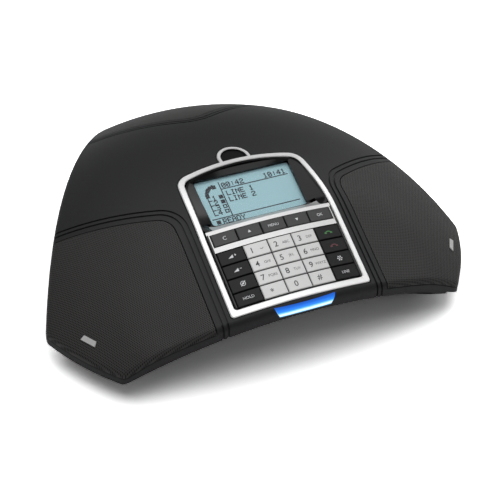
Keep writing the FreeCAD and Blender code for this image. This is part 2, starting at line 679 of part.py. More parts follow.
def display_surround():
    """The dark moulding behind the frame: funnel, display pocket, keypad pocket and flange."""
    foot, deep = SURROUND_FOOT, 9 * WALL
    seat = lid_at(-FRAME_DEPTH - FRAME_SEAT)
    window = frame_solid(FRAME_RAIL + FRAME_SEAT, FRAME_BAR, -deep, deep)
    window = to_panel(window.cut(box((-PLATE_HALF, PLATE_HALF), (0, MENU_HEAD), (-2 * deep, 2 * deep))))
    inner = lid_at(-WALL - FLANGE_THICKNESS)
    plate = frame_solid(0, foot, -SURROUND_BACK, deep).fuse(tab_solid(TAB_HALF, -deep, deep))
    plate = to_panel(plate).common(seat)
    plate = plate.cut(inner.common(to_panel(tab_solid(2 * TAB_HALF, -deep, deep))).cut(window))
    flange = frame_solid(-SURROUND_FLANGE, foot, -deep, deep)
    flange = flange.fuse(tab_solid(TAB_HALF + SURROUND_FLANGE, -deep, deep))
    flange = to_panel(flange).common(body(WALL + FIT)).cut(inner)
    bowl = to_panel(funnel(SURROUND_WALL)).common(window).common(lid_at(-0.5 * FRAME_SEAT))
    pocket = to_panel(display_box(LCD_BORDER + SURROUND_WALL, -POCKET_DEPTH, 0.5 * SURROUND_WALL))
    solid = plate.fuse([flange, bowl, pocket.common(seat), mic_tube()])
    key_shaft = box((-BLOCK_HALF - KEY_GAP, BLOCK_HALF + KEY_GAP),
                    (BLOCK_FOOT - KEY_GAP, MENU_HEAD + KEY_GAP), (-2 * SURROUND_BACK, WALL))
    key_seat = box((-PLATE_HALF - FIT, PLATE_HALF + FIT), (PLATE_FOOT - FIT, PLATE_HEAD + FIT),
                   (-KEY_DEPTH - FIT, WALL))
    cuts = [funnel(), slope_block(FIT), display_box(WINDOW_BORDER + WINDOW_PLAY, -WINDOW_THICKNESS, 1),
            display_box(LCD_BORDER + LCD_PLAY, -2 * POCKET_DEPTH, -WINDOW_THICKNESS), key_shaft, key_seat,
            mat_block(MAT_CLEARANCE, -2 * SURROUND_BACK, -MAT_DEPTH + FIT)]
    solid = solid.cut([to_panel(cut) for cut in cuts])
    return solid.cut(rod(MIC_RADIUS + BOOT_WALL + BOOT_PLAY, (0, TOP_OF_ALL), 0, MIC_REACH))


def display_window():
    """The clear window over the display."""
    return to_panel(display_box(WINDOW_BORDER, -WINDOW_THICKNESS, -FIT))


def lcd_module():
    """The display itself, in a thin frame."""
    top = -WINDOW_THICKNESS - FIT
    back = top - LCD_THICKNESS
    glass = display_box(LCD_BORDER, back, top)
    tray = display_box(LCD_BORDER - 1, back - 1, back)
    return to_panel(glass.fuse(tray))


# ---- Keys --------------------------------------------------------------------------
MENU_KEYS = ["back", "up", "menu", "down", "ok"]
BLOCK_KEYS = [["volume_up", "1", "2", "3", "call"], ["volume_down", "4", "5", "6", "end"],
              ["mute", "7", "8", "9", "conference"], ["hold", "star", "0", "hash", "line"]]


def columns(outer, inner):
    """Left and right edge of the five keys in a row, each with its share of the gaps."""
    left = -outer - 1.5 * inner
    edges = []
    for width in (outer, inner, inner, inner, outer):
        edges.append((left + KEY_GAP / 2, left + width - KEY_GAP / 2))
        left += width
    return edges


def key(across, along):
    """A key with a flat underside and an arched top with broken edges."""
    block = to_panel(box(across, along, (-KEY_DEPTH, 2 * WALL)))
    block = block.common(facet_slab(-2 * KEY_DEPTH, KEY_PROUD))
    top = max(block.Faces, key=lambda face: face.CenterOfMass.z)
    return block.makeChamfer(KEY_CHAMFER, top.Edges)


def key_places():
    """The name, span across and span up the panel of every key."""
    rows = [(MENU_KEYS, (MENU_FOOT, MENU_HEAD), columns(MENU_KEY_WIDTH, MENU_KEY_WIDTH))]
    for i, names in enumerate(BLOCK_KEYS):
        low = BLOCK_HEAD - (i + 1) * KEY_HEIGHT
        along = (low + KEY_GAP / 2, low + KEY_HEIGHT - KEY_GAP / 2)
        rows.append((names, along, columns(SIDE_KEY_WIDTH, KEY_WIDTH)))
    return [(name, across, along) for names, along, spans in rows for name, across in zip(names, spans)]


def mat_block(grow, low, high):
    """The outline of the key mat and key board as a block."""
    half = BLOCK_HALF + MAT_BORDER + grow
    return box((-half, half), (BLOCK_FOOT - 0.5 * MAT_BORDER - grow, MAT_HEAD + grow), (low, high))


def key_mat():
    """A rubber sheet with a raised pad under each key."""
    sheet = mat_block(0, -MAT_DEPTH - MAT_THICKNESS, -MAT_DEPTH)
    inset = 0.2 * KEY_WIDTH
    pads = [box((left + inset, right - inset), (low + inset, high - inset), (-MAT_DEPTH - 0.1, -PAD_TOP))
            for _, (left, right), (low, high) in key_places()]
    return to_panel(sheet.fuse(pads))


def key_board():
    """The circuit board behind the mat."""
    top = -MAT_DEPTH - MAT_THICKNESS - FIT
    return to_panel(mat_block(0, top - BOARD_THICKNESS, top))


# ---- Microphone --------------------------------------------------------------------
def tab_floor():
    """Height of the surround's face under the microphone's cover plate."""
    return TOTAL_HEIGHT - FRAME_DEPTH - FRAME_SEAT


def mic_tube():
    """The socket in the surround that holds the rubber boot."""
    low = tab_floor() - MIC_HEIGHT - 2 * BOOT_FLOOR
    tube = rod(MIC_RADIUS + 2 * BOOT_WALL, (low, tab_floor() - 0.5), 0, MIC_REACH)
    return tube.common(lid_at(-FRAME_DEPTH - FRAME_SEAT))


def microphone_boot():
    """The rubber cup round the capsule."""
    top = tab_floor() - BOOT_TOP_GAP
    low = top - MIC_HEIGHT - BOOT_FLOOR
    cup = rod(MIC_RADIUS + BOOT_WALL, (low, top), 0, MIC_REACH)
    cup = cup.cut(rod(MIC_RADIUS + FIT, (low + BOOT_FLOOR, TOP_OF_ALL), 0, MIC_REACH))
    return cup.common(lid_at(-FRAME_DEPTH - FRAME_SEAT))


def microphone():
    """The capsule."""
    top = tab_floor() - BOOT_TOP_GAP
    return rod(MIC_RADIUS, (top - MIC_HEIGHT + FIT, top - 0.4), 0, MIC_REACH)


def microphone_mesh():
    """The dark plate inside the tab's ring."""
    deep = 6 * WALL
    plate = tab_solid(TAB_HALF - TAB_RAIL - 0.1, -2 * deep, deep).cut(frame_solid(-0.1, 0, -2 * deep, deep))
    return between(to_panel(plate), -MESH_SINK, -FRAME_DEPTH)


# ---- Speakers ----------------------------------------------------------------------
def speaker(angle):
    """Flange, tapered basket and magnet of a driver."""
    top = -BAFFLE_DEPTH - FIT
    seat = top - FLANGE_HEIGHT
    neck = MAGNET_RADIUS - 2
    low = top - BASKET_DEPTH
    back = low - MAGNET_HEIGHT
    profile = [(CONE_RADIUS, top), (SPEAKER_RADIUS, top), (SPEAKER_RADIUS, seat), (CONE_RADIUS + 1, seat),
               (neck, low), (MAGNET_RADIUS, low), (MAGNET_RADIUS, back), (0, back),
               (0, low + BASKET_WALL), (neck - BASKET_WALL, low + BASKET_WALL), (CONE_RADIUS, seat)]
    return on_speaker(spun(profile), angle)


def speaker_cone(angle):
    """Paper cone with its raised edge and flat cap, just inside the basket."""
    top = -BAFFLE_DEPTH - FIT
    rim, roll, throat = CONE_RADIUS - CONE_PLAY, CONE_RADIUS - CONE_EDGE, 0.4 * CONE_RADIUS
    bottom = top - 0.55 * BASKET_DEPTH
    profile = [(0, bottom), (throat, bottom), (roll, top - CONE_THICKNESS), (rim, top - CONE_THICKNESS),
               (rim, top), (roll, top), (throat, bottom + CONE_THICKNESS), (0, bottom + CONE_THICKNESS)]
    return on_speaker(spun(profile), angle)


# ---- Base and what it holds --------------------------------------------------------
def keel(inset, rise):
    """The base's outer form, moved inwards by inset and upwards by rise off its underside."""
    start = SIDE_REACH - KEEL_START
    lift = rise * math.hypot(1, KEEL_SLOPE)
    run = 1.5 * SIDE_REACH
    outside = V(0, -start - SIDE_REACH, ARCH_TOP - ARCH_RADIUS)
    level = Part.makeCylinder(ARCH_RADIUS + rise, SIDE_REACH, outside, V(0, 1, 0))
    ring = Part.Circle(V(0, -start, ARCH_TOP - ARCH_RADIUS + lift), V(0, 1, 0), ARCH_RADIUS)
    sloped = Part.Face(Part.Wire(ring.toShape())).extrude(V(0, run, -run * KEEL_SLOPE))
    end = ARM_REACH - WALL - COVER_CLEARANCE - BASE_WALL / 2
    far = 2 * ARM_REACH
    length, low = ARM_REACH / 2, END_HEIGHT + lift - ARM_REACH / 2 * KEEL_SLOPE
    points = [V(far, 0, END_HEIGHT + rise), V(end, 0, END_HEIGHT + rise), V(end, 0, END_HEIGHT + lift),
              V(end - length, 0, low), V(far, 0, low)]
    wedge = Part.Face(Part.makePolygon(points + points[:1])).extrude(V(0, 2 * ARM_END_WIDTH, 0))
    wedge.translate(V(0, -ARM_END_WIDTH, 0))
    cuts = [turned(c, a - SIDE_ANGLES["front"]) for c in (level, sloped) for a in SIDE_ANGLES.values()]
    cuts += [turned(wedge, a) for a in ARM_ANGLES.values()]
    return prism(inset, FOOT_HEIGHT + rise, TOP_OF_ALL).cut(cuts)


def socket_box(socket, grow):
    """A socket's housing, hanging from the main board, its mouth in the bay's front wall."""
    half = socket["width"] / 2 + grow
    return box((socket["x"] - half, socket["x"] + half), (BAY_FRONT - socket["depth"] - grow, BAY_FRONT),
               (BOARD_HEIGHT - FIT - socket["height"] - grow, BOARD_HEIGHT - FIT))


def base_cover():
    """The lower tray: three keels that meet in a flat bottom, with the socket bay and channel."""
    inset = WALL + COVER_CLEARANCE
    shell = keel(inset, 0).cut(keel(inset + BASE_WALL, BASE_WALL)).common(under(LIP))
    bay = box((-BAY_HALF - BAY_WALL, BAY_HALF + BAY_WALL), (BAY_FRONT - BAY_WALL, BAY_BACK + BAY_WALL),
              (FOOT_HEIGHT, BAY_HEIGHT + BAY_WALL))
    near, far = CHANNEL_CENTRE - CHANNEL_WIDTH / 2, CHANNEL_CENTRE + CHANNEL_WIDTH / 2
    roof = FOOT_HEIGHT + CHANNEL_DEPTH
    channel = box((0, CHANNEL_END), (near - BAY_WALL, far + BAY_WALL), (FOOT_HEIGHT, roof + BAY_WALL))
    adds = [bay, channel.common(keel(inset, 0))]
    cuts = [box((-BAY_HALF, BAY_HALF), (BAY_FRONT, BAY_BACK), (0, BAY_HEIGHT)),
            box((BAY_HALF - 1, CHANNEL_END + 2 * CHANNEL_WIDTH), (near, far), (0, roof))]
    cuts += [socket_box(s, SOCKET_PLAY) for s in (NETWORK, ACCESSORY, POWER)]
    for angle in ARM_ANGLES.values():
        boss = rod(BOSS_RADIUS, (FOOT_HEIGHT, BOSS_JOINT - FIT), SCREW_REACH)
        post = rod(STANDOFF_RADIUS, (FOOT_HEIGHT, BOARD_HEIGHT - FIT), STANDOFF_REACH)
        adds += [turned(s, angle) for s in (boss, post)]
        holes = [rod(SCREW_RADIUS + 4 * SCREW_PLAY, (0, TOP_OF_ALL), SCREW_REACH),
                 rod(SCREW_HEAD_RADIUS + 4 * SCREW_PLAY, (0, SCREW_SEAT), SCREW_REACH),
                 rod(BOARD_SCREW_RADIUS + SCREW_PLAY, (BOARD_HEIGHT - BOARD_SCREW_LENGTH, TOP_OF_ALL),
                     STANDOFF_REACH),
                 rod(FOOT_RADIUS + FIT, (0, FOOT_HEIGHT + FOOT_RECESS), FOOT_REACH)]
        cuts += [turned(s, angle) for s in holes]
    return shell.fuse(adds).cut(cuts)


def rubber_feet():
    """Three round pads, seated in recesses."""
    pad = rod(FOOT_RADIUS, (0, FOOT_HEIGHT + FOOT_RECESS - FIT), FOOT_REACH)
    rim = [e for e in pad.Edges if e.BoundBox.ZMax < 1e-6]
    pad = pad.makeChamfer(FOOT_CHAMFER, rim)
    return Part.makeCompound([turned(pad, angle) for angle in ARM_ANGLES.values()])


def case_screws():
    """The three long screws that close the case from below."""
    head = rod(SCREW_HEAD_RADIUS, (SCREW_SEAT - SCREW_HEAD_HEIGHT, SCREW_SEAT - FIT), SCREW_REACH)
    shank = rod(SCREW_RADIUS, (SCREW_SEAT - FIT, SCREW_TOP), SCREW_REACH)
    return Part.makeCompound([turned(head.fuse(shank), angle) for angle in ARM_ANGLES.values()])


def board_screws():
    """The three screws of the main board."""
    top = BOARD_HEIGHT + BOARD_THICKNESS
    head = rod(BOARD_SCREW_HEAD, (top + FIT, top + BOARD_SCREW_HEAD_HEIGHT), STANDOFF_REACH)
    low = top + BOARD_SCREW_HEAD_HEIGHT - BOARD_SCREW_LENGTH + 2 * FIT
    shank = rod(BOARD_SCREW_RADIUS, (low, top + FIT), STANDOFF_REACH)
    return Part.makeCompound([turned(head.fuse(shank), angle) for angle in ARM_ANGLES.values()])


def main_board():
    """The round main board."""
    board = rod(BOARD_RADIUS, (BOARD_HEIGHT, BOARD_HEIGHT + BOARD_THICKNESS))
    holes = [turned(rod(BOARD_SCREW_RADIUS + 4 * SCREW_PLAY, (0, TOP_OF_ALL), STANDOFF_REACH), angle)
             for angle in ARM_ANGLES.values()]
    return board.cut(holes)


def modular_socket(socket):
    """A modular jack: housing with a stepped mouth."""
    width, height, depth = socket["hole"]
    housing = socket_box(socket, 0)
    middle = BOARD_HEIGHT - socket["height"] / 2
    x = socket["x"]
    low, high = middle - height / 2, middle + height / 2
    mouth = box((x - width / 2, x + width / 2), (BAY_FRONT - depth, BAY_FRONT + 1), (low, high))
    latch = box((x - width / 5, x + width / 5), (BAY_FRONT - depth / 2, BAY_FRONT + 1),
                (low - LATCH_HEIGHT, low))
    return housing.cut([mouth, latch])


def power_socket():
    """A barrel jack: round mouth with a centre pin."""
    width, _, depth = POWER["hole"]
    middle = BOARD_HEIGHT - POWER["height"] / 2
    mouth = Part.makeCylinder(width / 2, depth + 1, V(POWER["x"], BAY_FRONT - depth, middle), V(0, 1, 0))
    pin = Part.makeCylinder(PIN_RADIUS, depth, V(POWER["x"], BAY_FRONT - depth - 0.5, middle), V(0, 1, 0))
    return socket_box(POWER, 0).cut(mouth).fuse(pin)


def light_lens():
    """The lens fills its opening in the wall, flush with the outer form."""
    return lens_block(0).common(body(0)).cut(to_panel(frame_block(-PANEL_GAP, 0, PANEL_CUT)))


# ---- Assembly ----------------------------------------------------------------------
def nodes():
    made = {"top_cover": top_cover(), "base_cover": base_cover(), "panel_frame": panel_frame(),
            "display_surround": display_surround(), "display_window": display_window(),
            "lcd_module": lcd_module(), "key_surround": key_surround(), "key_mat": key_mat(),
            "key_board": key_board(), "main_board": main_board(), "microphone": microphone(),
            "microphone_boot": microphone_boot(), "microphone_mesh": microphone_mesh(),
            "network_socket": modular_socket(NETWORK), "accessory_socket": modular_socket(ACCESSORY),
            "power_socket": power_socket(), "case_screws": case_screws(), "board_screws": board_screws(),
            "rubber_feet": rubber_feet(), "light_lens_front": light_lens()}
    for arm, angle in ARM_ANGLES.items():
        made["grille_" + arm] = grille(angle)
        made["badge_" + arm] = badge(angle)
        made["speaker_" + arm] = speaker(angle)
        made["speaker_cone_" + arm] = speaker_cone(angle)
    for name, across, along in key_places():
        made["key_" + name] = key(across, along)
    return made


os.makedirs("parts", exist_ok=True)
for node, shape in nodes().items():
    placed = shape.copy()
    placed.translate(V(0, ORIGIN_SHIFT, 0))
    placed.exportStep("parts/" + node + ".step")
    box_ = placed.BoundBox
    print(node, "valid", placed.isValid(), "solids", len(placed.Solids), "volume", round(placed.Volume),
          [round(v, 1) for v in (box_.XMin, box_.XMax, box_.YMin, box_.YMax, box_.ZMin, box_.ZMax)])
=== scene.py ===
# %% [markdown]
# # A desk conference phone
# The solids of the phone come from its CAD model, so every piece already has its true size and
# place. This lesson dresses them. It gives each piece its finish, prints the keys, closes the
# ends of the silver slope, puts spring wires into the sockets and a picture on the display, and
# then lights the phone as in a studio.

# %% Start from the solids
import json
import math

import bmesh
import bpy
import numpy as np
from mathutils import Matrix, Vector
from mathutils.bvhtree import BVHTree


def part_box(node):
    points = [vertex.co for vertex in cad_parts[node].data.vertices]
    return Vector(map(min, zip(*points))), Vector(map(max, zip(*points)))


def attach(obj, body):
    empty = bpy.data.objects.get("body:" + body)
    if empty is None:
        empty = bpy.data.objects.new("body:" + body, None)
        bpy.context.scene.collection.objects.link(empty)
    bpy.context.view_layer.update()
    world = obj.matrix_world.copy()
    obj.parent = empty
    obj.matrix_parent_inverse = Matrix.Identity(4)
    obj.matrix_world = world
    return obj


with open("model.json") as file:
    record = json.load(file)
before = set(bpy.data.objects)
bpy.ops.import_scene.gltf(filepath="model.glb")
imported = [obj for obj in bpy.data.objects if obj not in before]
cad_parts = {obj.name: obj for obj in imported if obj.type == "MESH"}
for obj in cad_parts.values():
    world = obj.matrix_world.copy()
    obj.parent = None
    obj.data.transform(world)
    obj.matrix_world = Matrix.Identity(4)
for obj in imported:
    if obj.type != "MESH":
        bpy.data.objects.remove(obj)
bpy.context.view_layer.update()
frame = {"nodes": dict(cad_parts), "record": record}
NODES = frame["nodes"]
BODY_OF = {node: body for body, nodes in frame["record"]["behaviour"]["bodies"].items() for node in nodes}
MM = 0.001

# %% [markdown]
# ## The camera
# The phone is seen from its left front, about as by somebody who sits at the table. A long lens
# keeps the dome's curves calm. The camera's three axes are worked out from its two angles and its
# roll.

# %% Camera
CAMERA_PLACE = np.array([-254.1, -570.6, 487.5]) * MM
AZIMUTH, ELEVATION, ROLL = math.radians(-25.55), math.radians(38.18), math.radians(2.19)
LENS = 105.86


def camera_axes(azimuth, elevation, roll):
    """Right, up and back as columns: back points to the eye, and roll turns right towards up."""
    back = np.array([math.sin(azimuth) * math.cos(elevation), -math.cos(azimuth) * math.cos(elevation),
                     math.sin(elevation)])
    level = np.array([math.cos(azimuth), math.sin(azimuth), 0.0])
    right = level * math.cos(roll) + np.cross(back, level) * math.sin(roll)
    return np.column_stack([right, np.cross(back, right), back])


camera = bpy.data.objects.new("camera", bpy.data.cameras.new("camera"))
bpy.context.scene.collection.objects.link(camera)
turn = Matrix(camera_axes(AZIMUTH, ELEVATION, ROLL).tolist()).to_4x4()
camera.matrix_world = Matrix.Translation(CAMERA_PLACE.tolist()) @ turn
camera.data.lens = LENS
camera.data.clip_start, camera.data.clip_end = 0.01, 20
bpy.context.scene.camera = camera
print("camera at", CAMERA_PLACE)

# %% [markdown]
# ## Shader maths as plain expressions
# A finish is easier to read as a formula than as a drawing of nodes. `Value` wraps one output
# socket and turns Python's operators into Math nodes; `Finish` makes any other node.

# %% A value that can be calculated with


class Value:
    """One output of a node. Arithmetic on it adds Math nodes to the same material."""

    def __init__(self, finish, socket):
        self.finish = finish
        self.socket = socket

    def maths(self, operation, first, second=0.0):
        """A Math node on two values or numbers."""
        return self.finish.node("ShaderNodeMath", {"operation": operation}, {0: first, 1: second})

    def __add__(self, other):
        return self.maths("ADD", self, other)

    def __radd__(self, other):
        return self.maths("ADD", other, self)

    def __sub__(self, other):
        return self.maths("SUBTRACT", self, other)

    def __rsub__(self, other):
        return self.maths("SUBTRACT", other, self)

    def __mul__(self, other):
        return self.maths("MULTIPLY", self, other)

    def __rmul__(self, other):
        return self.maths("MULTIPLY", other, self)

    def __truediv__(self, other):
        return self.maths("DIVIDE", self, other)

    def __abs__(self):
        return self.maths("ABSOLUTE", self)

    def clamped(self):
        """The value, held between 0 and 1."""
        return self.maths("MINIMUM", self.maths("MAXIMUM", self, 0.0), 1.0)

    def wave(self):
        """The cosine of the value, in radians."""
        return self.maths("COSINE", self)


# %% [markdown]
# Most finishes need the same few nodes: the place on the phone, noise, a mix of two colours and a
# bump. `Finish` has a short method for each, and done() closes the material with its shader.

# %% A finish: one material and the nodes in it


class Finish:
    """A material under construction."""

    def __init__(self, name):
        self.material = bpy.data.materials.new(name)
        self.material.use_nodes = True
        self.tree = self.material.node_tree
        self.tree.nodes.clear()

    def node(self, kind, settings=None, sockets=None, output=0):
        """Any node: first its settings, then a value or a link for each socket; gives one output."""
        made = self.tree.nodes.new(kind)
        for key, value in (settings or {}).items():
            if key == "stops":
                self.stops(made.color_ramp, value)
            else:
                setattr(made, key, value)
        for key, value in (sockets or {}).items():
            if isinstance(value, Value):
                self.tree.links.new(value.socket, made.inputs[key])
            else:
                made.inputs[key].default_value = value
        return Value(self, made.outputs[output])

    def stops(self, ramp, colours):
        """Sets a colour ramp from {place: colour}."""
        places = sorted(colours)
        while len(ramp.elements) < len(places):
            ramp.elements.new(0.5)
        for element, place in zip(ramp.elements, places):
            element.position = place
            element.color = (*colours[place], 1.0)

    def place(self):
        """Where a point lies in the phone's own frame, in metres."""
        return self.node("ShaderNodeTexCoord", output=3)

    def turned(self, angle):
        """The same place, measured along axes turned about the upright axis."""
        return self.node("ShaderNodeVectorRotate", {"rotation_type": "Z_AXIS"},
                         {"Vector": self.place(), "Angle": -angle})

    def axis(self, vector, name):
        """One of a vector's three numbers."""
        return self.node("ShaderNodeSeparateXYZ", sockets={0: vector}, output="XYZ".index(name))

    def noise(self, size, detail=2.0, roughness=0.5):
        """Cloudy noise from 0 to 1 whose blobs are about `size` metres wide."""
        return self.node("ShaderNodeTexNoise", {}, {"Vector": self.place(), "Scale": 1.0 / size,
                                                    "Detail": detail, "Roughness": roughness})

    def cells(self, size, output="Distance"):
        """Scattered points about `size` metres apart: the distance to the nearest, or its Color."""
        return self.node("ShaderNodeTexVoronoi", {}, {"Vector": self.place(), "Scale": 1.0 / size}, output)

    def facing(self, direction):
        """1 where the surface looks along a direction, 0 where it lies along it."""
        normal = self.node("ShaderNodeNewGeometry", output=3)
        return self.node("ShaderNodeVectorMath", {"operation": "DOT_PRODUCT"},
                         {0: normal, 1: tuple(direction)}, output=1)

    def mix(self, mask, first, second):
        """Colour first where mask is 0, second where it is 1."""
        return self.node("ShaderNodeMix", {"data_type": "RGBA"},
                         {0: mask, 6: colour(first), 7: colour(second)}, output=2)

    def bump(self, height, depth, strength=1.0):
        """A surface normal from a height of 0 to 1 that stands for `depth` metres."""
        return self.node("ShaderNodeBump", {}, {"Height": height, "Distance": depth, "Strength": strength})

    def done(self, **inputs):
        """Closes the material with a Principled shader; an input's name has _ for each space."""
        sockets = {key.replace("_", " "): value for key, value in inputs.items()}
        for key in ("Base Color", "Emission Color"):
            if key in sockets and not isinstance(sockets[key], Value):
                sockets[key] = colour(sockets[key])
        shader = self.node("ShaderNodeBsdfPrincipled", {}, sockets)
        self.node_output(shader)
        return self.material

    def node_output(self, shader):
        """Joins a shader to the material's output."""
        output = self.tree.nodes.new("ShaderNodeOutputMaterial")
        self.tree.links.new(shader.socket, output.inputs[0])


def colour(value):
    """A colour as four numbers, or the value itself if it is already a link."""
    return value if isinstance(value, Value) else (*value, 1.0)


def shade(base, factor):
    """A colour made darker or lighter by a factor, and no lighter than white."""
    return tuple(min(1.0, factor * c) for c in base)


# %% [markdown]
# ## Plastics
# The case is a charcoal moulding with a fine spark-eroded grain: pebbles about a third of a
# millimetre across that break up highlights. The grain is a bump made of two sizes of noise, and
# the roughness follows it a little, because the tops of the pebbles are polished by handling.

# %% Grained case plastic


def grained_plastic(name, base, grain, depth, rough):
    """Charcoal moulding: height = fine cells + soft noise; roughness and colour drift slowly."""
    finish = Finish(name)
    pebbles = finish.cells(grain) * 0.6 + finish.noise(2.5 * grain) * 0.4
    drift = finish.noise(30 * MM, detail=3.0)
    return finish.done(Base_Color=finish.mix(drift, shade(base, 0.92), shade(base, 1.08)),
                       Roughness=rough + 0.06 * pebbles + 0.04 * drift,
                       Normal=finish.bump(pebbles, depth), Specular_IOR_Level=0.3)


CASE = (0.0115, 0.0118, 0.0125)
case_plastic = grained_plastic("charcoal_case", CASE, grain=0.35 * MM, depth=0.04 * MM, rough=0.5)
base_plastic = grained_plastic("charcoal_base", shade(CASE, 0.8), grain=0.45 * MM, depth=0.05 * MM,
                               rough=0.52)
print("case plastics ready")

# %% [markdown]
# Polished black plastic needs no grain, only the faint ripple that every moulding has and a few
# duller patches, so that reflections look real and not like a mirror.

# %% Polished and satin plastics


def polished_plastic(name, base, rough, specular):
    """Gloss black: long soft ripples in the surface, and roughness that drifts with them."""
    finish = Finish(name)
    ripple = finish.noise(12 * MM, detail=1.0)
    return finish.done(Base_Color=base, Roughness=rough + 0.05 * ripple,
                       Normal=finish.bump(ripple, 0.02 * MM), Specular_IOR_Level=specular)


def satin_plastic(name, base, rough=0.34, specular=0.5):
    """Key-cap plastic: a very fine even grain under a satin sheen, and a colour that drifts slowly."""
    finish = Finish(name)
    fine = finish.noise(0.25 * MM, detail=1.0)
    drift = finish.noise(20 * MM)
    return finish.done(Base_Color=finish.mix(drift, shade(base, 0.9), shade(base, 1.1)),
                       Roughness=rough + 0.08 * fine, Normal=finish.bump(fine, 0.01 * MM),
                       Specular_IOR_Level=specular)


gloss_black = polished_plastic("gloss_black", (0.004, 0.004, 0.0045), rough=0.1, specular=0.22)
tab_black = polished_plastic("tab_black", (0.0012, 0.0012, 0.0014), rough=0.5, specular=0.15)
key_black = satin_plastic("key_black", (0.006, 0.006, 0.0065), specular=0.2)
key_graphite = satin_plastic("key_graphite", (0.026, 0.026, 0.027), rough=0.3, specular=0.4)
socket_black = satin_plastic("socket_black", (0.012, 0.012, 0.012), rough=0.4)
print("gloss and satin plastics ready")

# %% [markdown]
# ## Directions on the panel
# The keys and the display lie on one sloping facet of the dome. Paint and print both need to know
# which way it faces, so its three directions are worked out once from its slope: across, uphill
# and straight outward.

# %% Directions on the panel
PANEL_DEGREES = 24.4
ACROSS = np.array([1.0, 0.0, 0.0])


def slope_directions(degrees):
    """Uphill and outward on a plane that rises towards +Y by an angle."""
    angle = math.radians(degrees)
    return (np.array([0.0, math.cos(angle), math.sin(angle)]),
            np.array([0.0, -math.sin(angle), math.cos(angle)]))


UPHILL, OUTWARD = slope_directions(PANEL_DEGREES)
print("the panel faces", OUTWARD.round(3))

# %% [markdown]
# ## Silver paint
# The frame, the plate round the keys and the number keys are plastic with silver paint. Paint of
# this kind holds tiny aluminium flakes: each one tilts the light its own way, so the finish
# sparkles slightly. The sides of each moulding are painted black: painted shade, which darkens the
# gaps between the keys and round the frame and the plate.

# %% Silver paint
FLAKE = 0.12 * MM
PAINT_EDGE, PAINT_FADE = 0.35, 6
EDGE_BLUR = 0.15 * MM
# Painted shade: the black on the sides of the silver mouldings, which darkens the gaps between them.
SIDE_SHADE = (0.01, 0.01, 0.01)
PLATE_HALF_WIDTH = 32.3 * MM


def silver_paint(name, base, rough, metallic, outward=None, half_width=None):
    """Flakes: each cell of a fine Voronoi has its own tone, which shifts the colour and the roughness.

    With an outward direction only the faces that look that way are silver; the sides are painted black,
    as painted shade in the gaps between parts. With a half width the silver stops there on both sides
    and the plate's edges beyond are painted black too, as painted shade of the gap beside the frame.
    """
    finish = Finish(name)
    tone = finish.axis(finish.cells(FLAKE, "Color"), "X")
    cloud = finish.noise(8 * MM, detail=3.0)
    paint = finish.mix(0.6 * tone + 0.4 * cloud, shade(base, 0.93), shade(base, 1.04))
    if outward is not None:
        # side is 1 on faces that turn away from the panel: they get the painted shade in place of silver.
        side = 1 - ((finish.facing(outward) - PAINT_EDGE) * PAINT_FADE).clamped()
        if half_width is not None:
            from_middle = abs(finish.axis(finish.place(), "X"))
            beyond = ((from_middle - half_width) / EDGE_BLUR).clamped()
            side = side + beyond - side * beyond
        paint = finish.mix(side, paint, SIDE_SHADE)
        metallic = metallic * (1 - side)
    return finish.done(Base_Color=paint, Roughness=rough + 0.05 * tone + 0.03 * cloud, Metallic=metallic,
                       Normal=finish.bump(tone, 0.004 * MM))


BRIGHT, GREY, WARM_GREY = (0.86, 0.86, 0.86), (0.60, 0.60, 0.60), (0.60, 0.60, 0.595)
frame_silver = silver_paint("frame_silver", BRIGHT, rough=0.28, metallic=0.4, outward=OUTWARD)
slope_silver = silver_paint("slope_silver", GREY, rough=0.36, metallic=0.65, outward=OUTWARD)
surround_silver = silver_paint("surround_silver", GREY, rough=0.36, metallic=0.65, outward=OUTWARD,
                               half_width=PLATE_HALF_WIDTH)
key_silver = silver_paint("key_silver", WARM_GREY, rough=0.42, metallic=0.35, outward=OUTWARD)
badge_silver = silver_paint("badge_silver", WARM_GREY, rough=0.38, metallic=0.6)
print("silver paints ready")

# %% [markdown]
# ## Speaker grilles
# Each grille is a thin steel skin punched with fine holes in a hexagonal pattern and painted
# black-brown. The holes are a pattern on the phone's own coordinates, turned to lie along each
# arm. Three waves at 120 degrees add up to exactly that pattern: it peaks at every hole.

# %% Punched steel
HOLE_PITCH = 0.95 * MM
HOLE_EDGE, HOLE_SHARPNESS = 0.1, 1.6
WEB_DARK, WEB_LIGHT, HOLE_DARK = (0.030, 0.0285, 0.0275), (0.039, 0.037, 0.036), (0.002, 0.002, 0.002)
ARM_ANGLES = {"left": math.radians(210), "right": math.radians(330), "back": math.radians(90)}


def punched_steel(name, angle):
    """Holes where the sum of three cosine waves, 120 degrees apart in plan, passes a threshold."""
    finish = Finish(name)
    along = finish.turned(angle)
    x, y = finish.axis(along, "X"), finish.axis(along, "Y")
    rate = 4 * math.pi / (math.sqrt(3) * HOLE_PITCH)
    total = (x * rate).wave()
    for turn_by in (math.radians(120), math.radians(240)):
        total = total + ((x * math.cos(turn_by) + y * math.sin(turn_by)) * rate).wave()
    hole = ((total - HOLE_EDGE) * HOLE_SHARPNESS).clamped()
    web = finish.mix(finish.noise(20 * MM, detail=3.0), WEB_DARK, WEB_LIGHT)
    return finish.done(Base_Color=finish.mix(hole, web, HOLE_DARK), Roughness=0.5 + 0.25 * hole,
                       Normal=finish.bump(1 - hole, 0.12 * MM, strength=0.6), Specular_IOR_Level=0.3)


grille_finish = {arm: punched_steel("punched_steel_" + arm, angle) for arm, angle in ARM_ANGLES.items()}
print("grille pitch", HOLE_PITCH)

# %% [markdown]
# ## Display, window and light
# The display is a pale reflective film with a faint grid of picture cells. The window over it is
# nearly clear: a low alpha lets the film show while the surface keeps a little gloss.

# %% Display film and window
CELL = 0.37 * MM
FILM_DARK, FILM_LIGHT = (0.36, 0.63, 0.70), (0.41, 0.69, 0.76)


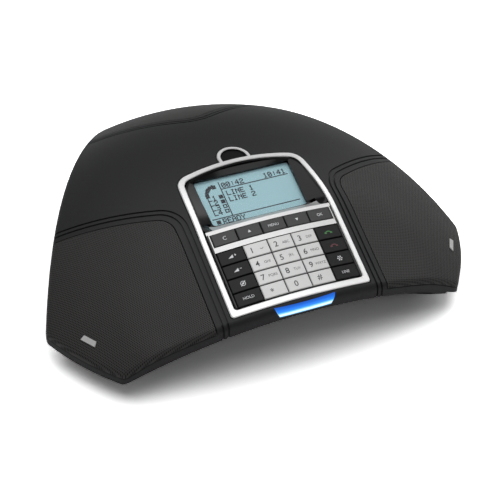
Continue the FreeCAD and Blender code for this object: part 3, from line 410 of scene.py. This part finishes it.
def display_film(name):
    """Pale film: the product of two waves gives a fine grid of cells, over soft clouds of tone."""
    finish = Finish(name)
    place = finish.place()
    rate = 2 * math.pi / CELL
    across = (finish.axis(place, "X") * rate).wave()
    uphill = (finish.axis(place, "Y") * (rate / UPHILL[1])).wave()
    grid = (across * 0.5 + 0.5) * (uphill * 0.5 + 0.5)
    cloud = finish.noise(30 * MM, detail=1.0)
    base = finish.mix(0.35 * grid + 0.4 * cloud, FILM_DARK, FILM_LIGHT)
    return finish.done(Base_Color=base, Roughness=0.5, Coat_Weight=0.3, Coat_Roughness=0.05)


def clear_window(name):
    """Almost clear, and glossy: faint smears a finger's breadth wide change only the roughness."""
    finish = Finish(name)
    smear = finish.noise(15 * MM)
    return finish.done(Base_Color=(0.2, 0.21, 0.22), Roughness=0.03 + 0.05 * smear, Alpha=0.06)


film = display_film("display_film")
window = clear_window("display_window")
window.surface_render_method = "BLENDED"
print("display cells of", CELL, "under a window")

# %% [markdown]
# The light lens is milky plastic with a blue lamp behind it. Its glow is strongest a quarter of
# the way up, where it is nearly white, and falls off to deep blue above that.

# %% Light lens
GLOW_STOPS = {0.0: (0.02, 0.30, 1.0), 0.08: (0.45, 0.88, 1.0), 0.24: (0.95, 1.0, 1.0),
              0.40: (0.25, 0.72, 1.0), 0.56: (0.01, 0.22, 0.90), 1.0: (0.002, 0.04, 0.34)}
GLOW_STRENGTH = 1.1


def glowing_lens(name, node):
    """Emission colour from the height in the lens, from 0 to 1, made a little uneven by noise."""
    low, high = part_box(node)
    finish = Finish(name)
    height = (finish.axis(finish.place(), "Z") - low.z) / (high.z - low.z)
    glow = finish.node("ShaderNodeValToRGB", {"stops": GLOW_STOPS}, {0: height + 0.06 * finish.noise(4 * MM)})
    return finish.done(Base_Color=(0.02, 0.12, 0.4), Roughness=0.25, Emission_Color=glow,
                       Emission_Strength=GLOW_STRENGTH)


lens_glow = glowing_lens("lens_front", "light_lens_front")
print("display and light finishes ready")

# %% [markdown]
# ## The rest: rubber, boards, metal and paper
# The feet, the mat and the microphone's boot are rubber; the boards are green solder mask over
# copper; screws, wires and the microphone's can are bare metal; the speaker cones are pressed
# paper. Most of them show only when the phone is turned over or taken apart, and each gets the
# noise that suits its grain.

# %% Rubber, board, metal, paper


def rubber_finish(name):
    """Matt black: one grain of noise moves the tone, the roughness and the height together."""
    finish = Finish(name)
    grain = finish.noise(0.6 * MM, detail=3.0)
    return finish.done(Base_Color=finish.mix(grain, (0.010, 0.010, 0.010), (0.020, 0.020, 0.020)),
                       Roughness=0.75 + 0.1 * grain, Normal=finish.bump(grain, 0.04 * MM))


def board_finish(name):
    """Solder mask over copper: broad copper areas show through as a lighter green."""
    finish = Finish(name)
    copper = ((finish.noise(6 * MM, detail=0.0) - 0.5) * 12).clamped()
    return finish.done(Base_Color=finish.mix(copper, (0.004, 0.045, 0.018), (0.010, 0.09, 0.035)),
                       Roughness=0.35, Normal=finish.bump(copper, 0.03 * MM))


def bare_metal(name, base, rough):
    """Drawn or plated metal with fine scratches in every direction."""
    finish = Finish(name)
    scratch = finish.noise(0.4 * MM, detail=6.0, roughness=0.8)
    return finish.done(Base_Color=finish.mix(scratch, shade(base, 0.85), base), Metallic=1.0,
                       Roughness=rough + 0.15 * scratch, Normal=finish.bump(scratch, 0.01 * MM))


def paper_finish(name):
    """Pressed paper: a rough mat of fibres in tone and height."""
    finish = Finish(name)
    fibre = finish.noise(1.5 * MM, detail=6.0, roughness=0.8)
    return finish.done(Base_Color=finish.mix(fibre, (0.015, 0.015, 0.015), (0.035, 0.034, 0.032)),
                       Roughness=0.85, Normal=finish.bump(fibre, 0.1 * MM))


rubber = rubber_finish("rubber")
board = board_finish("solder_mask")
zinc = bare_metal("zinc_plate", (0.62, 0.62, 0.60), rough=0.3)
gold = bare_metal("gold_plate", (0.83, 0.62, 0.25), rough=0.2)
can = bare_metal("drawn_can", (0.75, 0.75, 0.74), rough=0.25)
paper = paper_finish("cone_paper")
coated_steel = satin_plastic("coated_steel", (0.02, 0.02, 0.02), rough=0.45)
print(len(bpy.data.materials), "finishes so far")

# %% [markdown]
# ## Dressing the solids
# Every solid takes one finish in its own material slot; the meshes themselves are left alone, so
# that their true shapes stay.

# %% Finish of every solid
SILVER_KEYS = ["1", "2", "3", "4", "5", "6", "7", "8", "9", "star", "0", "hash"]
MENU_KEYS = ["back", "up", "menu", "down", "ok"]
DARK_KEYS = ["volume_up", "volume_down", "mute", "hold", "call", "end", "conference", "line"]

FINISH = {"top_cover": case_plastic, "base_cover": base_plastic, "panel_frame": frame_silver,
          "display_surround": gloss_black, "display_window": window, "lcd_module": film,
          "key_surround": surround_silver, "key_mat": rubber, "key_board": board, "main_board": board,
          "microphone": can, "microphone_boot": rubber, "microphone_mesh": tab_black,
          "network_socket": socket_black, "accessory_socket": socket_black, "power_socket": socket_black,
          "case_screws": zinc, "board_screws": zinc, "rubber_feet": rubber, "light_lens_front": lens_glow}
FINISH.update({"grille_" + arm: finish for arm, finish in grille_finish.items()})
FINISH.update({"badge_" + arm: badge_silver for arm in ARM_ANGLES})
FINISH.update({"speaker_" + arm: coated_steel for arm in ARM_ANGLES})
FINISH.update({"speaker_cone_" + arm: paper for arm in ARM_ANGLES})
FINISH.update({"key_" + key: key_silver for key in SILVER_KEYS})
FINISH.update({"key_" + key: key_graphite for key in MENU_KEYS})
FINISH.update({"key_" + key: key_black for key in DARK_KEYS})


def dress(node, material):
    """Gives a solid one material in place of what it had."""
    slots = NODES[node].data.materials
    slots.clear()
    slots.append(material)


for node, material in FINISH.items():
    dress(node, material)
print("undressed:", sorted(set(NODES) - set(FINISH)))

# %% [markdown]
# ## Flat print
# Key legends are pad-printed: paint a few hundredths of a millimetre thick. Each legend is one
# thin mesh that rides on its key, so it goes down when the key is pressed. Its shapes are drawn
# flat first, as lists of (points, faces) in millimetres round the middle of the key.

# %% Flat shapes
CAPITAL_TO_SIZE = 1.38


def strip(path, width):
    """A band of constant width along an open path: each point is offset both ways along its normal."""
    path = np.asarray(path, float)
    heading = np.gradient(path, axis=0)
    heading /= np.linalg.norm(heading, axis=1)[:, None]
    normal = np.column_stack([-heading[:, 1], heading[:, 0]]) * (width / 2)
    points = np.concatenate([path + normal, path - normal])
    n = len(path)
    faces = [(i, n + i, n + i + 1, i + 1) for i in range(n - 1)]
    return points, faces


def on_circle(centre, radius, angle):
    """Points at the given angles on a circle."""
    return np.column_stack([centre[0] + radius * np.cos(angle), centre[1] + radius * np.sin(angle)])


def bow(centre, radius, start, end, width, count=20):
    """A band along a circle from one angle to another, in degrees."""
    return strip(on_circle(centre, radius, np.radians(np.linspace(start, end, count))), width)


def patch(points):
    """One filled polygon."""
    return np.asarray(points, float), [tuple(range(len(points)))]


def dot(centre, radius, count=18):
    """A round dot, as a polygon of `count` sides."""
    return patch(on_circle(centre, radius, np.linspace(0, 2 * math.pi, count, endpoint=False)))


def words(text, height, centre, bold=0.0):
    """Text as flat shapes, its capitals `height` millimetres tall."""
    curve = bpy.data.curves.new("words", "FONT")
    curve.body, curve.size, curve.offset = text, height * CAPITAL_TO_SIZE, bold
    curve.align_x, curve.align_y = "CENTER", "CENTER"
    holder = bpy.data.objects.new("words", curve)
    mesh = bpy.data.meshes.new_from_object(holder)
    points = np.array([v.co[:2] for v in mesh.vertices])
    faces = [tuple(p.vertices) for p in mesh.polygons]
    bpy.data.objects.remove(holder)
    bpy.data.meshes.remove(mesh)
    middle = (points.max(0) + points.min(0)) / 2
    return points - middle + np.asarray(centre, float), faces


print("a capital 1 mm tall takes a text size of", CAPITAL_TO_SIZE, "mm")

# %% [markdown]
# The dark keys carry small icons. Each is a handful of the flat shapes above, drawn in
# millimetres, because an icon of two or three plain forms stays sharp at this size.

# %% Small icons for the dark keys


def handset():
    """A telephone handset: a curved grip with two thick ends."""
    end = np.array([[-0.62, -0.42], [0.62, -0.42], [0.5, 0.5], [-0.5, 0.5]]) * [1.0, 0.85]
    return [bow((0, -1.5), 1.9, 40, 140, 0.5)] + [patch(end + [side * 1.5, -0.45]) for side in (-1, 1)]


def volume(sign):
    """A rising wedge with a plus or a minus beside it."""
    wedge = patch([(-2.0, -0.8), (0.6, -0.8), (0.6, 0.9)])
    bars = [patch([(1.3, 0.2), (2.3, 0.2), (2.3, 0.5), (1.3, 0.5)])]
    if sign > 0:
        bars.append(patch([(1.65, -0.15), (1.95, -0.15), (1.95, 0.85), (1.65, 0.85)]))
    return [wedge] + bars


def crossed_microphone():
    """A round microphone with a bar across it."""
    bar = strip([(-1.35, -1.2), (0, 0), (1.35, 1.2)], 0.28)
    return [bow((0, 0), 1.15, 0, 360, 0.3, 28), dot((0, 0), 0.5), bar]


def conference():
    """Seats round a table: one dot in the middle and six round it."""
    seats = on_circle((0, 0), 1.05, np.radians(np.arange(0, 360, 60)))
    return [dot((0, 0), 0.36)] + [dot(seat, 0.34, 12) for seat in seats]


def arrow(sign):
    """A triangle that points up for 1 and down for -1."""
    return [patch([(-0.85, -0.6 * sign), (0.85, -0.6 * sign), (0, 0.75 * sign)][::sign])]


# %% [markdown]
# The number keys carry a digit on the left and its letters, smaller, on the right, as on any
# telephone. The digits are a little bolder than the font's own; the letters are too small for
# that, because a wide M would then cross itself.

# %% Legends of all keys
LETTERS = {"2": "ABC", "3": "DEF", "4": "GHI", "5": "JKL", "6": "MNO", "7": "PQRS", "8": "TUV", "9": "WXYZ"}
SYMBOLS = {"star": "*", "hash": "#", "0": "0"}
DIGIT_HEIGHT, DIGIT_BOLD, LETTER_HEIGHT = 3.0, 0.04, 1.4


def digit_key(key):
    """Digit and letters, or a small bow for the key 1; star, nought and hash stand near the middle."""
    if key in SYMBOLS:
        return [words(SYMBOLS[key], DIGIT_HEIGHT, (-1.2, 0.0), DIGIT_BOLD)]
    digit = words(key, DIGIT_HEIGHT, (-2.8, 0.0), DIGIT_BOLD)
    if key in LETTERS:
        return [digit, words(LETTERS[key], LETTER_HEIGHT, (2.3, -0.1))]
    return [digit, bow((2.3, 0.5), 0.9, 200, 340, 0.25, 10)]


def word_key(text, height=1.5):
    """A word in the middle of its key."""
    return [words(text, height, (0, 0))]


legends = {key: ("dark", digit_key(key)) for key in SILVER_KEYS}
legends.update({
    "back": ("light", word_key("C", 2.0)), "up": ("light", arrow(1)), "menu": ("light", word_key("MENU")),
    "down": ("light", arrow(-1)), "ok": ("light", word_key("OK", 1.6)), "volume_up": ("light", volume(1)),
    "volume_down": ("light", volume(-1)), "mute": ("light", crossed_microphone()),
    "hold": ("light", word_key("HOLD")), "call": ("green", handset()), "end": ("red", handset()),
    "conference": ("light", conference()), "line": ("light", word_key("LINE"))})


def ink(name, base):
    """Printing ink: even colour with the slight mottle of a pad print."""
    finish = Finish(name)
    mottle = finish.noise(0.4 * MM)
    return finish.done(Base_Color=finish.mix(mottle, shade(base, 0.85), base), Roughness=0.5)


INKS = {"dark": ink("ink_dark", (0.03, 0.03, 0.035)), "light": ink("ink_light", (0.75, 0.76, 0.78)),
        "green": ink("ink_green", (0.05, 0.25, 0.06)), "red": ink("ink_red", (0.12, 0.02, 0.03))}
print(len(legends), "legends")

# %% [markdown]
# The key tops are arched, so a flat print would float over them. Each point of a legend is
# dropped onto the key: a ray from above, straight against the panel's outward direction, finds
# the place where it meets the solid.

# %% Print the keys
PRINT = 0.03 * MM
RAY_START = 5 * MM


def points_of(node):
    """A solid's points as an array."""
    mesh = NODES[node].data
    flat = np.empty(3 * len(mesh.vertices))
    mesh.vertices.foreach_get("co", flat)
    return flat.reshape(-1, 3)


def face_centre(node, uphill, outward):
    """Middle of a solid's extent along the face, at its highest point outward."""
    points = points_of(node)
    middle = [((points @ d).max() + (points @ d).min()) / 2 for d in (ACROSS, uphill)]
    return middle[0] * ACROSS + middle[1] * uphill + (points @ outward).max() * outward


def add_mesh(name, points, faces, material, body):
    """A mesh object of one material that rides on a body."""
    mesh = bpy.data.meshes.new(name)
    mesh.from_pydata(np.asarray(points).tolist(), [], faces)
    mesh.materials.append(material)
    piece = bpy.data.objects.new(name, mesh)
    bpy.context.scene.collection.objects.link(piece)
    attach(piece, body)
    return piece


def turn_outwards(piece):
    """Turns every face of a closed piece outwards."""
    whole = bmesh.new()
    whole.from_mesh(piece.data)
    bmesh.ops.recalc_face_normals(whole, faces=whole.faces)
    whole.to_mesh(piece.data)
    whole.free()


def surface_of(node):
    """A solid's surface, ready for finding where rays meet it."""
    polygons = [tuple(p.vertices) for p in NODES[node].data.polygons]
    return BVHTree.FromPolygons(points_of(node).tolist(), polygons)


def printed(name, shapes, node, material, lift=PRINT, uphill=UPHILL, outward=OUTWARD):
    """Lays flat shapes on a solid's face: each point drops onto the solid, and stays just above it."""
    start = face_centre(node, uphill, outward) + RAY_START * outward
    surface = surface_of(node)
    points, faces = [], []
    for flat, polygons in shapes:
        faces += [tuple(len(points) + i for i in polygon) for polygon in polygons]
        for above in start + MM * (flat[:, :1] * ACROSS + flat[:, 1:] * uphill):
            depth = surface.ray_cast(above.tolist(), (-outward).tolist())[3]
            points.append(above + (lift - (depth or RAY_START)) * outward)
    add_mesh(name, points, faces, material, BODY_OF[node])


for key, (tone, shapes) in legends.items():
    printed("legend_" + key, shapes, "key_" + key, INKS[tone])
print("printed", len(legends), "keys")

# %% [markdown]
# ## Ends of the slope over the menu keys
# Behind the menu keys the silver plate slopes down to the display. Its two ends are filled up to
# the frame: the slope's own section, found with a row of rays down its length, is carried
# sideways to the frame's rail, a hair below the plate so that the two never share a face. Such a
# strip, and each wire in the sockets further down, is a tube: rings of points joined by quads,
# with both its ends closed.

# %% Slope ends
INNER_END, OUTER_END = 22.0 * MM, 33.1 * MM
SECTION_AT = 0.8 * INNER_END
CLEAR_OF_KEYS, CLEAR_OF_EDGE = 0.5 * MM, 0.3 * MM
HAIR = 0.05 * MM
SLOPE_SKIN = 1.2 * MM
UPHILL_STEPS, ACROSS_STEPS = 40, 12
OVERHEAD = 200 * MM


def tube_faces(rings, around):
    """Quads between each ring and the next, and across both end rings, whose second half runs back."""
    ring = around * np.arange(rings)[:, None]
    here = np.arange(around)
    beside = (here + 1) % around
    sides = np.stack([ring[:-1] + here, ring[:-1] + beside, ring[1:] + beside, ring[1:] + here], axis=-1)
    ends = ring[[0, -1]]
    rung = np.arange(around // 2 - 1)
    across = around - 1 - rung
    caps = np.stack([ends + rung, ends + rung + 1, ends + across - 1, ends + across], axis=-1)
    return np.concatenate([sides.reshape(-1, 4), caps.reshape(-1, 4)])


def plate_height(surface, across, uphill):
    """Height of the plate over a place, by a ray from overhead; not a number where it misses."""
    above = across * ACROSS + uphill * UPHILL + OVERHEAD * OUTWARD
    hit = surface.ray_cast(above.tolist(), (-OUTWARD).tolist())[0]
    return math.nan if hit is None else float(np.array(hit) @ OUTWARD)


def slope_end(name, side):
    """The slope's section at one place, carried along x.

    It falls with the square of x, as the plate's arch does.
    """
    surface = surface_of("key_surround")
    start = (points_of("key_ok") @ UPHILL).max() + CLEAR_OF_KEYS
    end = (points_of("key_surround") @ UPHILL).max() - CLEAR_OF_EDGE
    uphill = np.linspace(start, end, UPHILL_STEPS)
    height = np.array([plate_height(surface, side * SECTION_AT, t) for t in uphill])
    uphill, height = uphill[~np.isnan(height)], height[~np.isnan(height)]
    fall = (plate_height(surface, 0.0, start) - plate_height(surface, INNER_END, start)) / INNER_END ** 2
    across = np.linspace(INNER_END, OUTER_END, ACROSS_STEPS)
    drop = fall * (across ** 2 - SECTION_AT ** 2) + HAIR
    ring_uphill = np.concatenate([uphill, uphill[::-1]])
    ring_height = np.concatenate([height, (height - SLOPE_SKIN)[::-1]])
    grid = (side * across[:, None, None] * ACROSS + ring_uphill[None, :, None] * UPHILL
            + (ring_height[None, :, None] - drop[:, None, None]) * OUTWARD)
    faces = tube_faces(ACROSS_STEPS, len(ring_uphill)).tolist()
    turn_outwards(add_mesh(name, grid.reshape(-1, 3), faces, slope_silver, BODY_OF["key_surround"]))
    print(name, "has", len(faces), "faces")


for name, side in (("slope_end_left", -1), ("slope_end_right", 1)):
    slope_end(name, side)

# %% [markdown]
# ## Contacts in the sockets
# A modular socket is empty without its row of gilded spring wires. Each wire starts in the roof of
# the mouth, just inside, and slants down to the back wall, so that a plug's own contacts press on
# it. One wire is a square section carried along that slant; the row repeats it at the pitch.

# %% Spring wires
SQUARE = np.array([[-1, -1], [1, -1], [1, 1], [-1, 1]])
WIRE, WIRE_PITCH, WIRE_DROP, WIRE_START, WIRE_STEPS = 0.4 * MM, 1.02 * MM, 3.4 * MM, 1.5 * MM, 12
MOUNT_PLACES = {mount["name"]: mount["pos_m"] for mount in frame["record"]["mounts"]}
MOUTHS = {"network_socket": (8, 8.0 * MM, 13.0 * MM), "accessory_socket": (6, 6.8 * MM, 12.0 * MM)}


def spring_wires(node, count, height, depth):
    """Each wire falls as the square root of the way to the back wall, from the roof of the mouth.

    The row has `count` wires; height and depth are the mouth's own.
    """
    place = MOUNT_PLACES[node + "_mouth"]
    way = np.linspace(0, 1, WIRE_STEPS)
    y = place[1] - WIRE_START - (depth - WIRE_START + WIRE / 2) * way
    z = place[2] + height / 2 + WIRE / 4 - WIRE_DROP * np.sqrt(way)
    x = place[0] + (np.arange(count) - (count - 1) / 2) * WIRE_PITCH
    corners = SQUARE * WIRE / 2
    grid = np.empty((count, WIRE_STEPS, len(corners), 3))
    grid[..., 0] = x[:, None, None] + corners[:, 0]
    grid[..., 1] = y[:, None]
    grid[..., 2] = z[:, None] + corners[:, 1]
    first = WIRE_STEPS * len(corners) * np.arange(count)[:, None, None]
    faces = (first + tube_faces(WIRE_STEPS, len(corners))).reshape(-1, 4)
    turn_outwards(add_mesh("wires_" + node, grid.reshape(-1, 3), faces.tolist(), gold, BODY_OF[node]))
    print(count, "wires in", node, "from", grid.min((0, 1, 2)).round(4), "to", grid.max((0, 1, 2)).round(4))


for node, mouth in MOUTHS.items():
    spring_wires(node, *mouth)

# %% [markdown]
# ## What the display shows
# A small dot-matrix display draws letters in a grid of five by seven cells. Each letter here is
# seven rows of five marks, written as a person would sketch it, and each mark becomes one small
# square. Lines and boxes are squares too, so everything sits on the same grid.

# %% Letters of five by seven cells
GLYPHS = {
    "0": "01110 10001 10011 10101 11001 10001 01110", "1": "00100 01100 00100 00100 00100 00100 01110",
    "2": "01110 10001 00001 00110 01000 10000 11111", "3": "11110 00001 00001 01110 00001 00001 11110",
    "4": "00010 00110 01010 10010 11111 00010 00010", "5": "11111 10000 11110 00001 00001 10001 01110",
    "A": "01110 10001 10001 11111 10001 10001 10001", "D": "11110 10001 10001 10001 10001 10001 11110",
    "E": "11111 10000 10000 11110 10000 10000 11111", "I": "01110 00100 00100 00100 00100 00100 01110",
    "L": "10000 10000 10000 10000 10000 10000 11111", "N": "10001 11001 10101 10011 10001 10001 10001",
    "R": "11110 10001 10001 11110 10100 10010 10001", "Y": "10001 10001 01010 00100 00100 00100 00100",
    ":": "00000 00100 00100 00000 00100 00100 00000", " ": "00000 00000 00000 00000 00000 00000 00000"}


def lettering(text, column, row):
    """Cells of a line of text whose lower left cell is (column, row); a letter takes six columns."""
    cells = []
    for place, letter in enumerate(text):
        left = column + 6 * place
        for line, marks in enumerate(GLYPHS[letter].split()):
            cells += [(left + i, row + 6 - line) for i, mark in enumerate(marks) if mark == "1"]
    return cells


def block(columns, rows):
    """Every cell in a range of columns and rows."""
    return [(c, r) for c in range(*columns) for r in range(*rows)]


def outline(column, row, size):
    """The border cells of a small square."""
    inner = set(block((column + 1, column + size - 1), (row + 1, row + size - 1)))
    return [cell for cell in block((column, column + size), (row, row + size)) if cell not in inner]


print(len(GLYPHS), "letters drawn")

# %% [markdown]
# The picture has a clock line at the top, two named lines, a receiver, four small boxes for the
# four lines, of which the first two are in use and so are filled, and a word at the foot. Two
# level rules and an upright one part them.

# %% The picture, cell by cell
COLUMNS, ROWS = 116, 58
UPRIGHT_RULE, TOP_RULE, FOOT_RULE = 26, 47, 8
TEXTS = {"00:42": (29, 49), "10:41": (85, 49), "LINE 1": (31, 37), "LINE 2": (31, 28), "READY": (12, 0)}
BOX, BOX_COLUMN, BOX_ROWS, IN_USE = 5, 20, (35, 28, 21, 14), 2


def receiver(column, row):
    """A receiver on its slant: a bow of cells, five circles thick, with a thick end at each side."""
    bows = {(round(column + 14 + r * math.cos(a)), round(row + r * math.sin(a)))
            for a in np.radians(np.linspace(96, 178, 60)) for r in (10.5, 11.3, 12.1, 12.9, 13.7)}
    upper_end = block((column + 12, column + 17), (row + 9, row + 14))
    lower_end = block((column, column + 5), (row - 2, row + 3))
    return [*bows, *upper_end, *lower_end]


picture = [cell for text, corner in TEXTS.items() for cell in lettering(text, *corner)]
picture += block((UPRIGHT_RULE, UPRIGHT_RULE + 1), (FOOT_RULE + 1, ROWS))
picture += block((UPRIGHT_RULE, COLUMNS), (TOP_RULE, TOP_RULE + 1))
picture += block((0, COLUMNS), (FOOT_RULE, FOOT_RULE + 1))
picture += receiver(4, 41) + block((4, 9), (1, 6))
for count, row in enumerate(BOX_ROWS):
    filled = block((BOX_COLUMN, BOX_COLUMN + BOX), (row, row + BOX))
    picture += filled if count < IN_USE else outline(BOX_COLUMN, row, BOX)
    picture += lettering("L" + str(count + 1), 5, row - 1)
picture = np.array(sorted(set(picture)), float)
print(len(picture), "dark cells")

# %% [markdown]
# The display lies a few degrees off the panel's own slope, so it has directions of its own. The
# picture is dropped onto it in the same way as the legends are dropped onto the keys. Each mark
# reaches a little past its cell, so that neighbours run together into even strokes.

# %% Lay the picture on the display
LCD_DEGREES = 3.2
LCD_SIZE = np.array([47.4, 23.8])
LCD_LIFT = 0.02 * MM
MARK_REACH = 0.7


def squares(cells):
    """Four corners round each cell's centre; the faces number them four by four."""
    pitch = LCD_SIZE / np.array([COLUMNS, ROWS])
    centres = (cells + 0.5) * pitch - LCD_SIZE / 2
    points = (centres[:, None, :] + SQUARE * pitch * MARK_REACH).reshape(-1, 2)
    return points, [tuple(range(i, i + 4)) for i in range(0, len(points), 4)]


lcd_ink = ink("display_cells", (0.010, 0.018, 0.032))
lcd_uphill, lcd_outward = slope_directions(PANEL_DEGREES - LCD_DEGREES)
printed("display_picture", [squares(picture)], "lcd_module", lcd_ink, LCD_LIFT, lcd_uphill, lcd_outward)
print("the display faces", lcd_outward.round(3))

# %% [markdown]
# ## Floor and light
# The phone stands on a pale sweep. Near the phone it is diffuse paint that takes the shadow, and
# further out it turns into an even white. It is whiter to the camera than to the light that it
# throws back, so that the phone's underside stays dark.

# %% Floor
FLOOR_REACH = 3.0
FLOOR_LIT, FLOOR_SEEN = (0.8, 0.8, 0.8), (2.2, 2.2, 2.2)
WHITE = (1.0, 1.0, 1.0)
SHADE_REACH, SWEEP_WIDTH = 0.30, 0.35


def floor_finish():
    """Paint up to the shadow's reach, then mixed in step with the distance into white light."""
    finish = Finish("floor")
    seen = finish.node("ShaderNodeLightPath", output="Is Camera Ray")
    paint = finish.node("ShaderNodeBsdfDiffuse", {}, {"Color": finish.mix(seen, FLOOR_LIT, FLOOR_SEEN)})
    white = finish.node("ShaderNodeEmission", {}, {"Color": colour(WHITE)})
    distance = finish.node("ShaderNodeVectorMath", {"operation": "LENGTH"}, {0: finish.place()}, output=1)
    far = ((distance - SHADE_REACH) / SWEEP_WIDTH).clamped() * seen
    finish.node_output(finish.node("ShaderNodeMixShader", {}, {0: far, 1: paint, 2: white}))
    return finish.material


floor_mesh = bpy.data.meshes.new("floor")
corners = [(FLOOR_REACH * x, FLOOR_REACH * y, 0) for x, y in SQUARE.tolist()]
floor_mesh.from_pydata(corners, [], [(0, 1, 2, 3)])
floor_mesh.materials.append(floor_finish())
floor = bpy.data.objects.new("floor", floor_mesh)
bpy.context.scene.collection.objects.link(floor)
print("a floor", 2 * FLOOR_REACH, "m wide")

# %% [markdown]
# Two soft boxes light the phone. The large one overhead gives the bright edges of the frame and
# the dome, and the small one on the right lifts that side. The room is white to the camera and
# through clear plastic, but dim as a light and in reflections, so that black plastic stays black.

# %% Lamps and room
LAMP_TARGET = (0, 0, 0.03)
SOFT_BOXES = {"top_box": ((-0.1, 0.08, 1.3), (1.6, 1.7), 15.5),
              "side_box": ((1.0, 0.35, 0.75), (0.9, 0.9), 4)}
ROOM_LIGHT = 0.2


def soft_box(name, place, size, power):
    """A rectangular lamp at a place, of a size in metres and a power in watts, that faces the phone."""
    lamp = bpy.data.lights.new(name, "AREA")
    lamp.shape, lamp.size, lamp.size_y, lamp.energy = "RECTANGLE", size[0], size[1], power
    holder = bpy.data.objects.new(name, lamp)
    holder.location = place
    holder.rotation_mode = "QUATERNION"
    holder.rotation_quaternion = (Vector(LAMP_TARGET) - Vector(place)).to_track_quat("-Z", "Y")
    bpy.context.scene.collection.objects.link(holder)


for name, (place, size, power) in SOFT_BOXES.items():
    soft_box(name, place, size, power)

world = bpy.data.worlds.new("room")
bpy.context.scene.world = world
world.use_nodes = True
nodes, links = world.node_tree.nodes, world.node_tree.links
rays = nodes.new("ShaderNodeLightPath")
seen = nodes.new("ShaderNodeMath")
seen.operation = "MAXIMUM"
links.new(rays.outputs["Is Camera Ray"], seen.inputs[0])
links.new(rays.outputs["Is Transmission Ray"], seen.inputs[1])
level = nodes.new("ShaderNodeMath")
level.operation = "MULTIPLY_ADD"
level.inputs[1].default_value, level.inputs[2].default_value = 1 - ROOM_LIGHT, ROOM_LIGHT
links.new(seen.outputs[0], level.inputs[0])
links.new(level.outputs[0], nodes["Background"].inputs["Strength"])
nodes["Background"].inputs["Color"].default_value = colour(WHITE)

bpy.context.scene.view_settings.view_transform = "Standard"
print(len(bpy.data.lights), "soft boxes and a room")
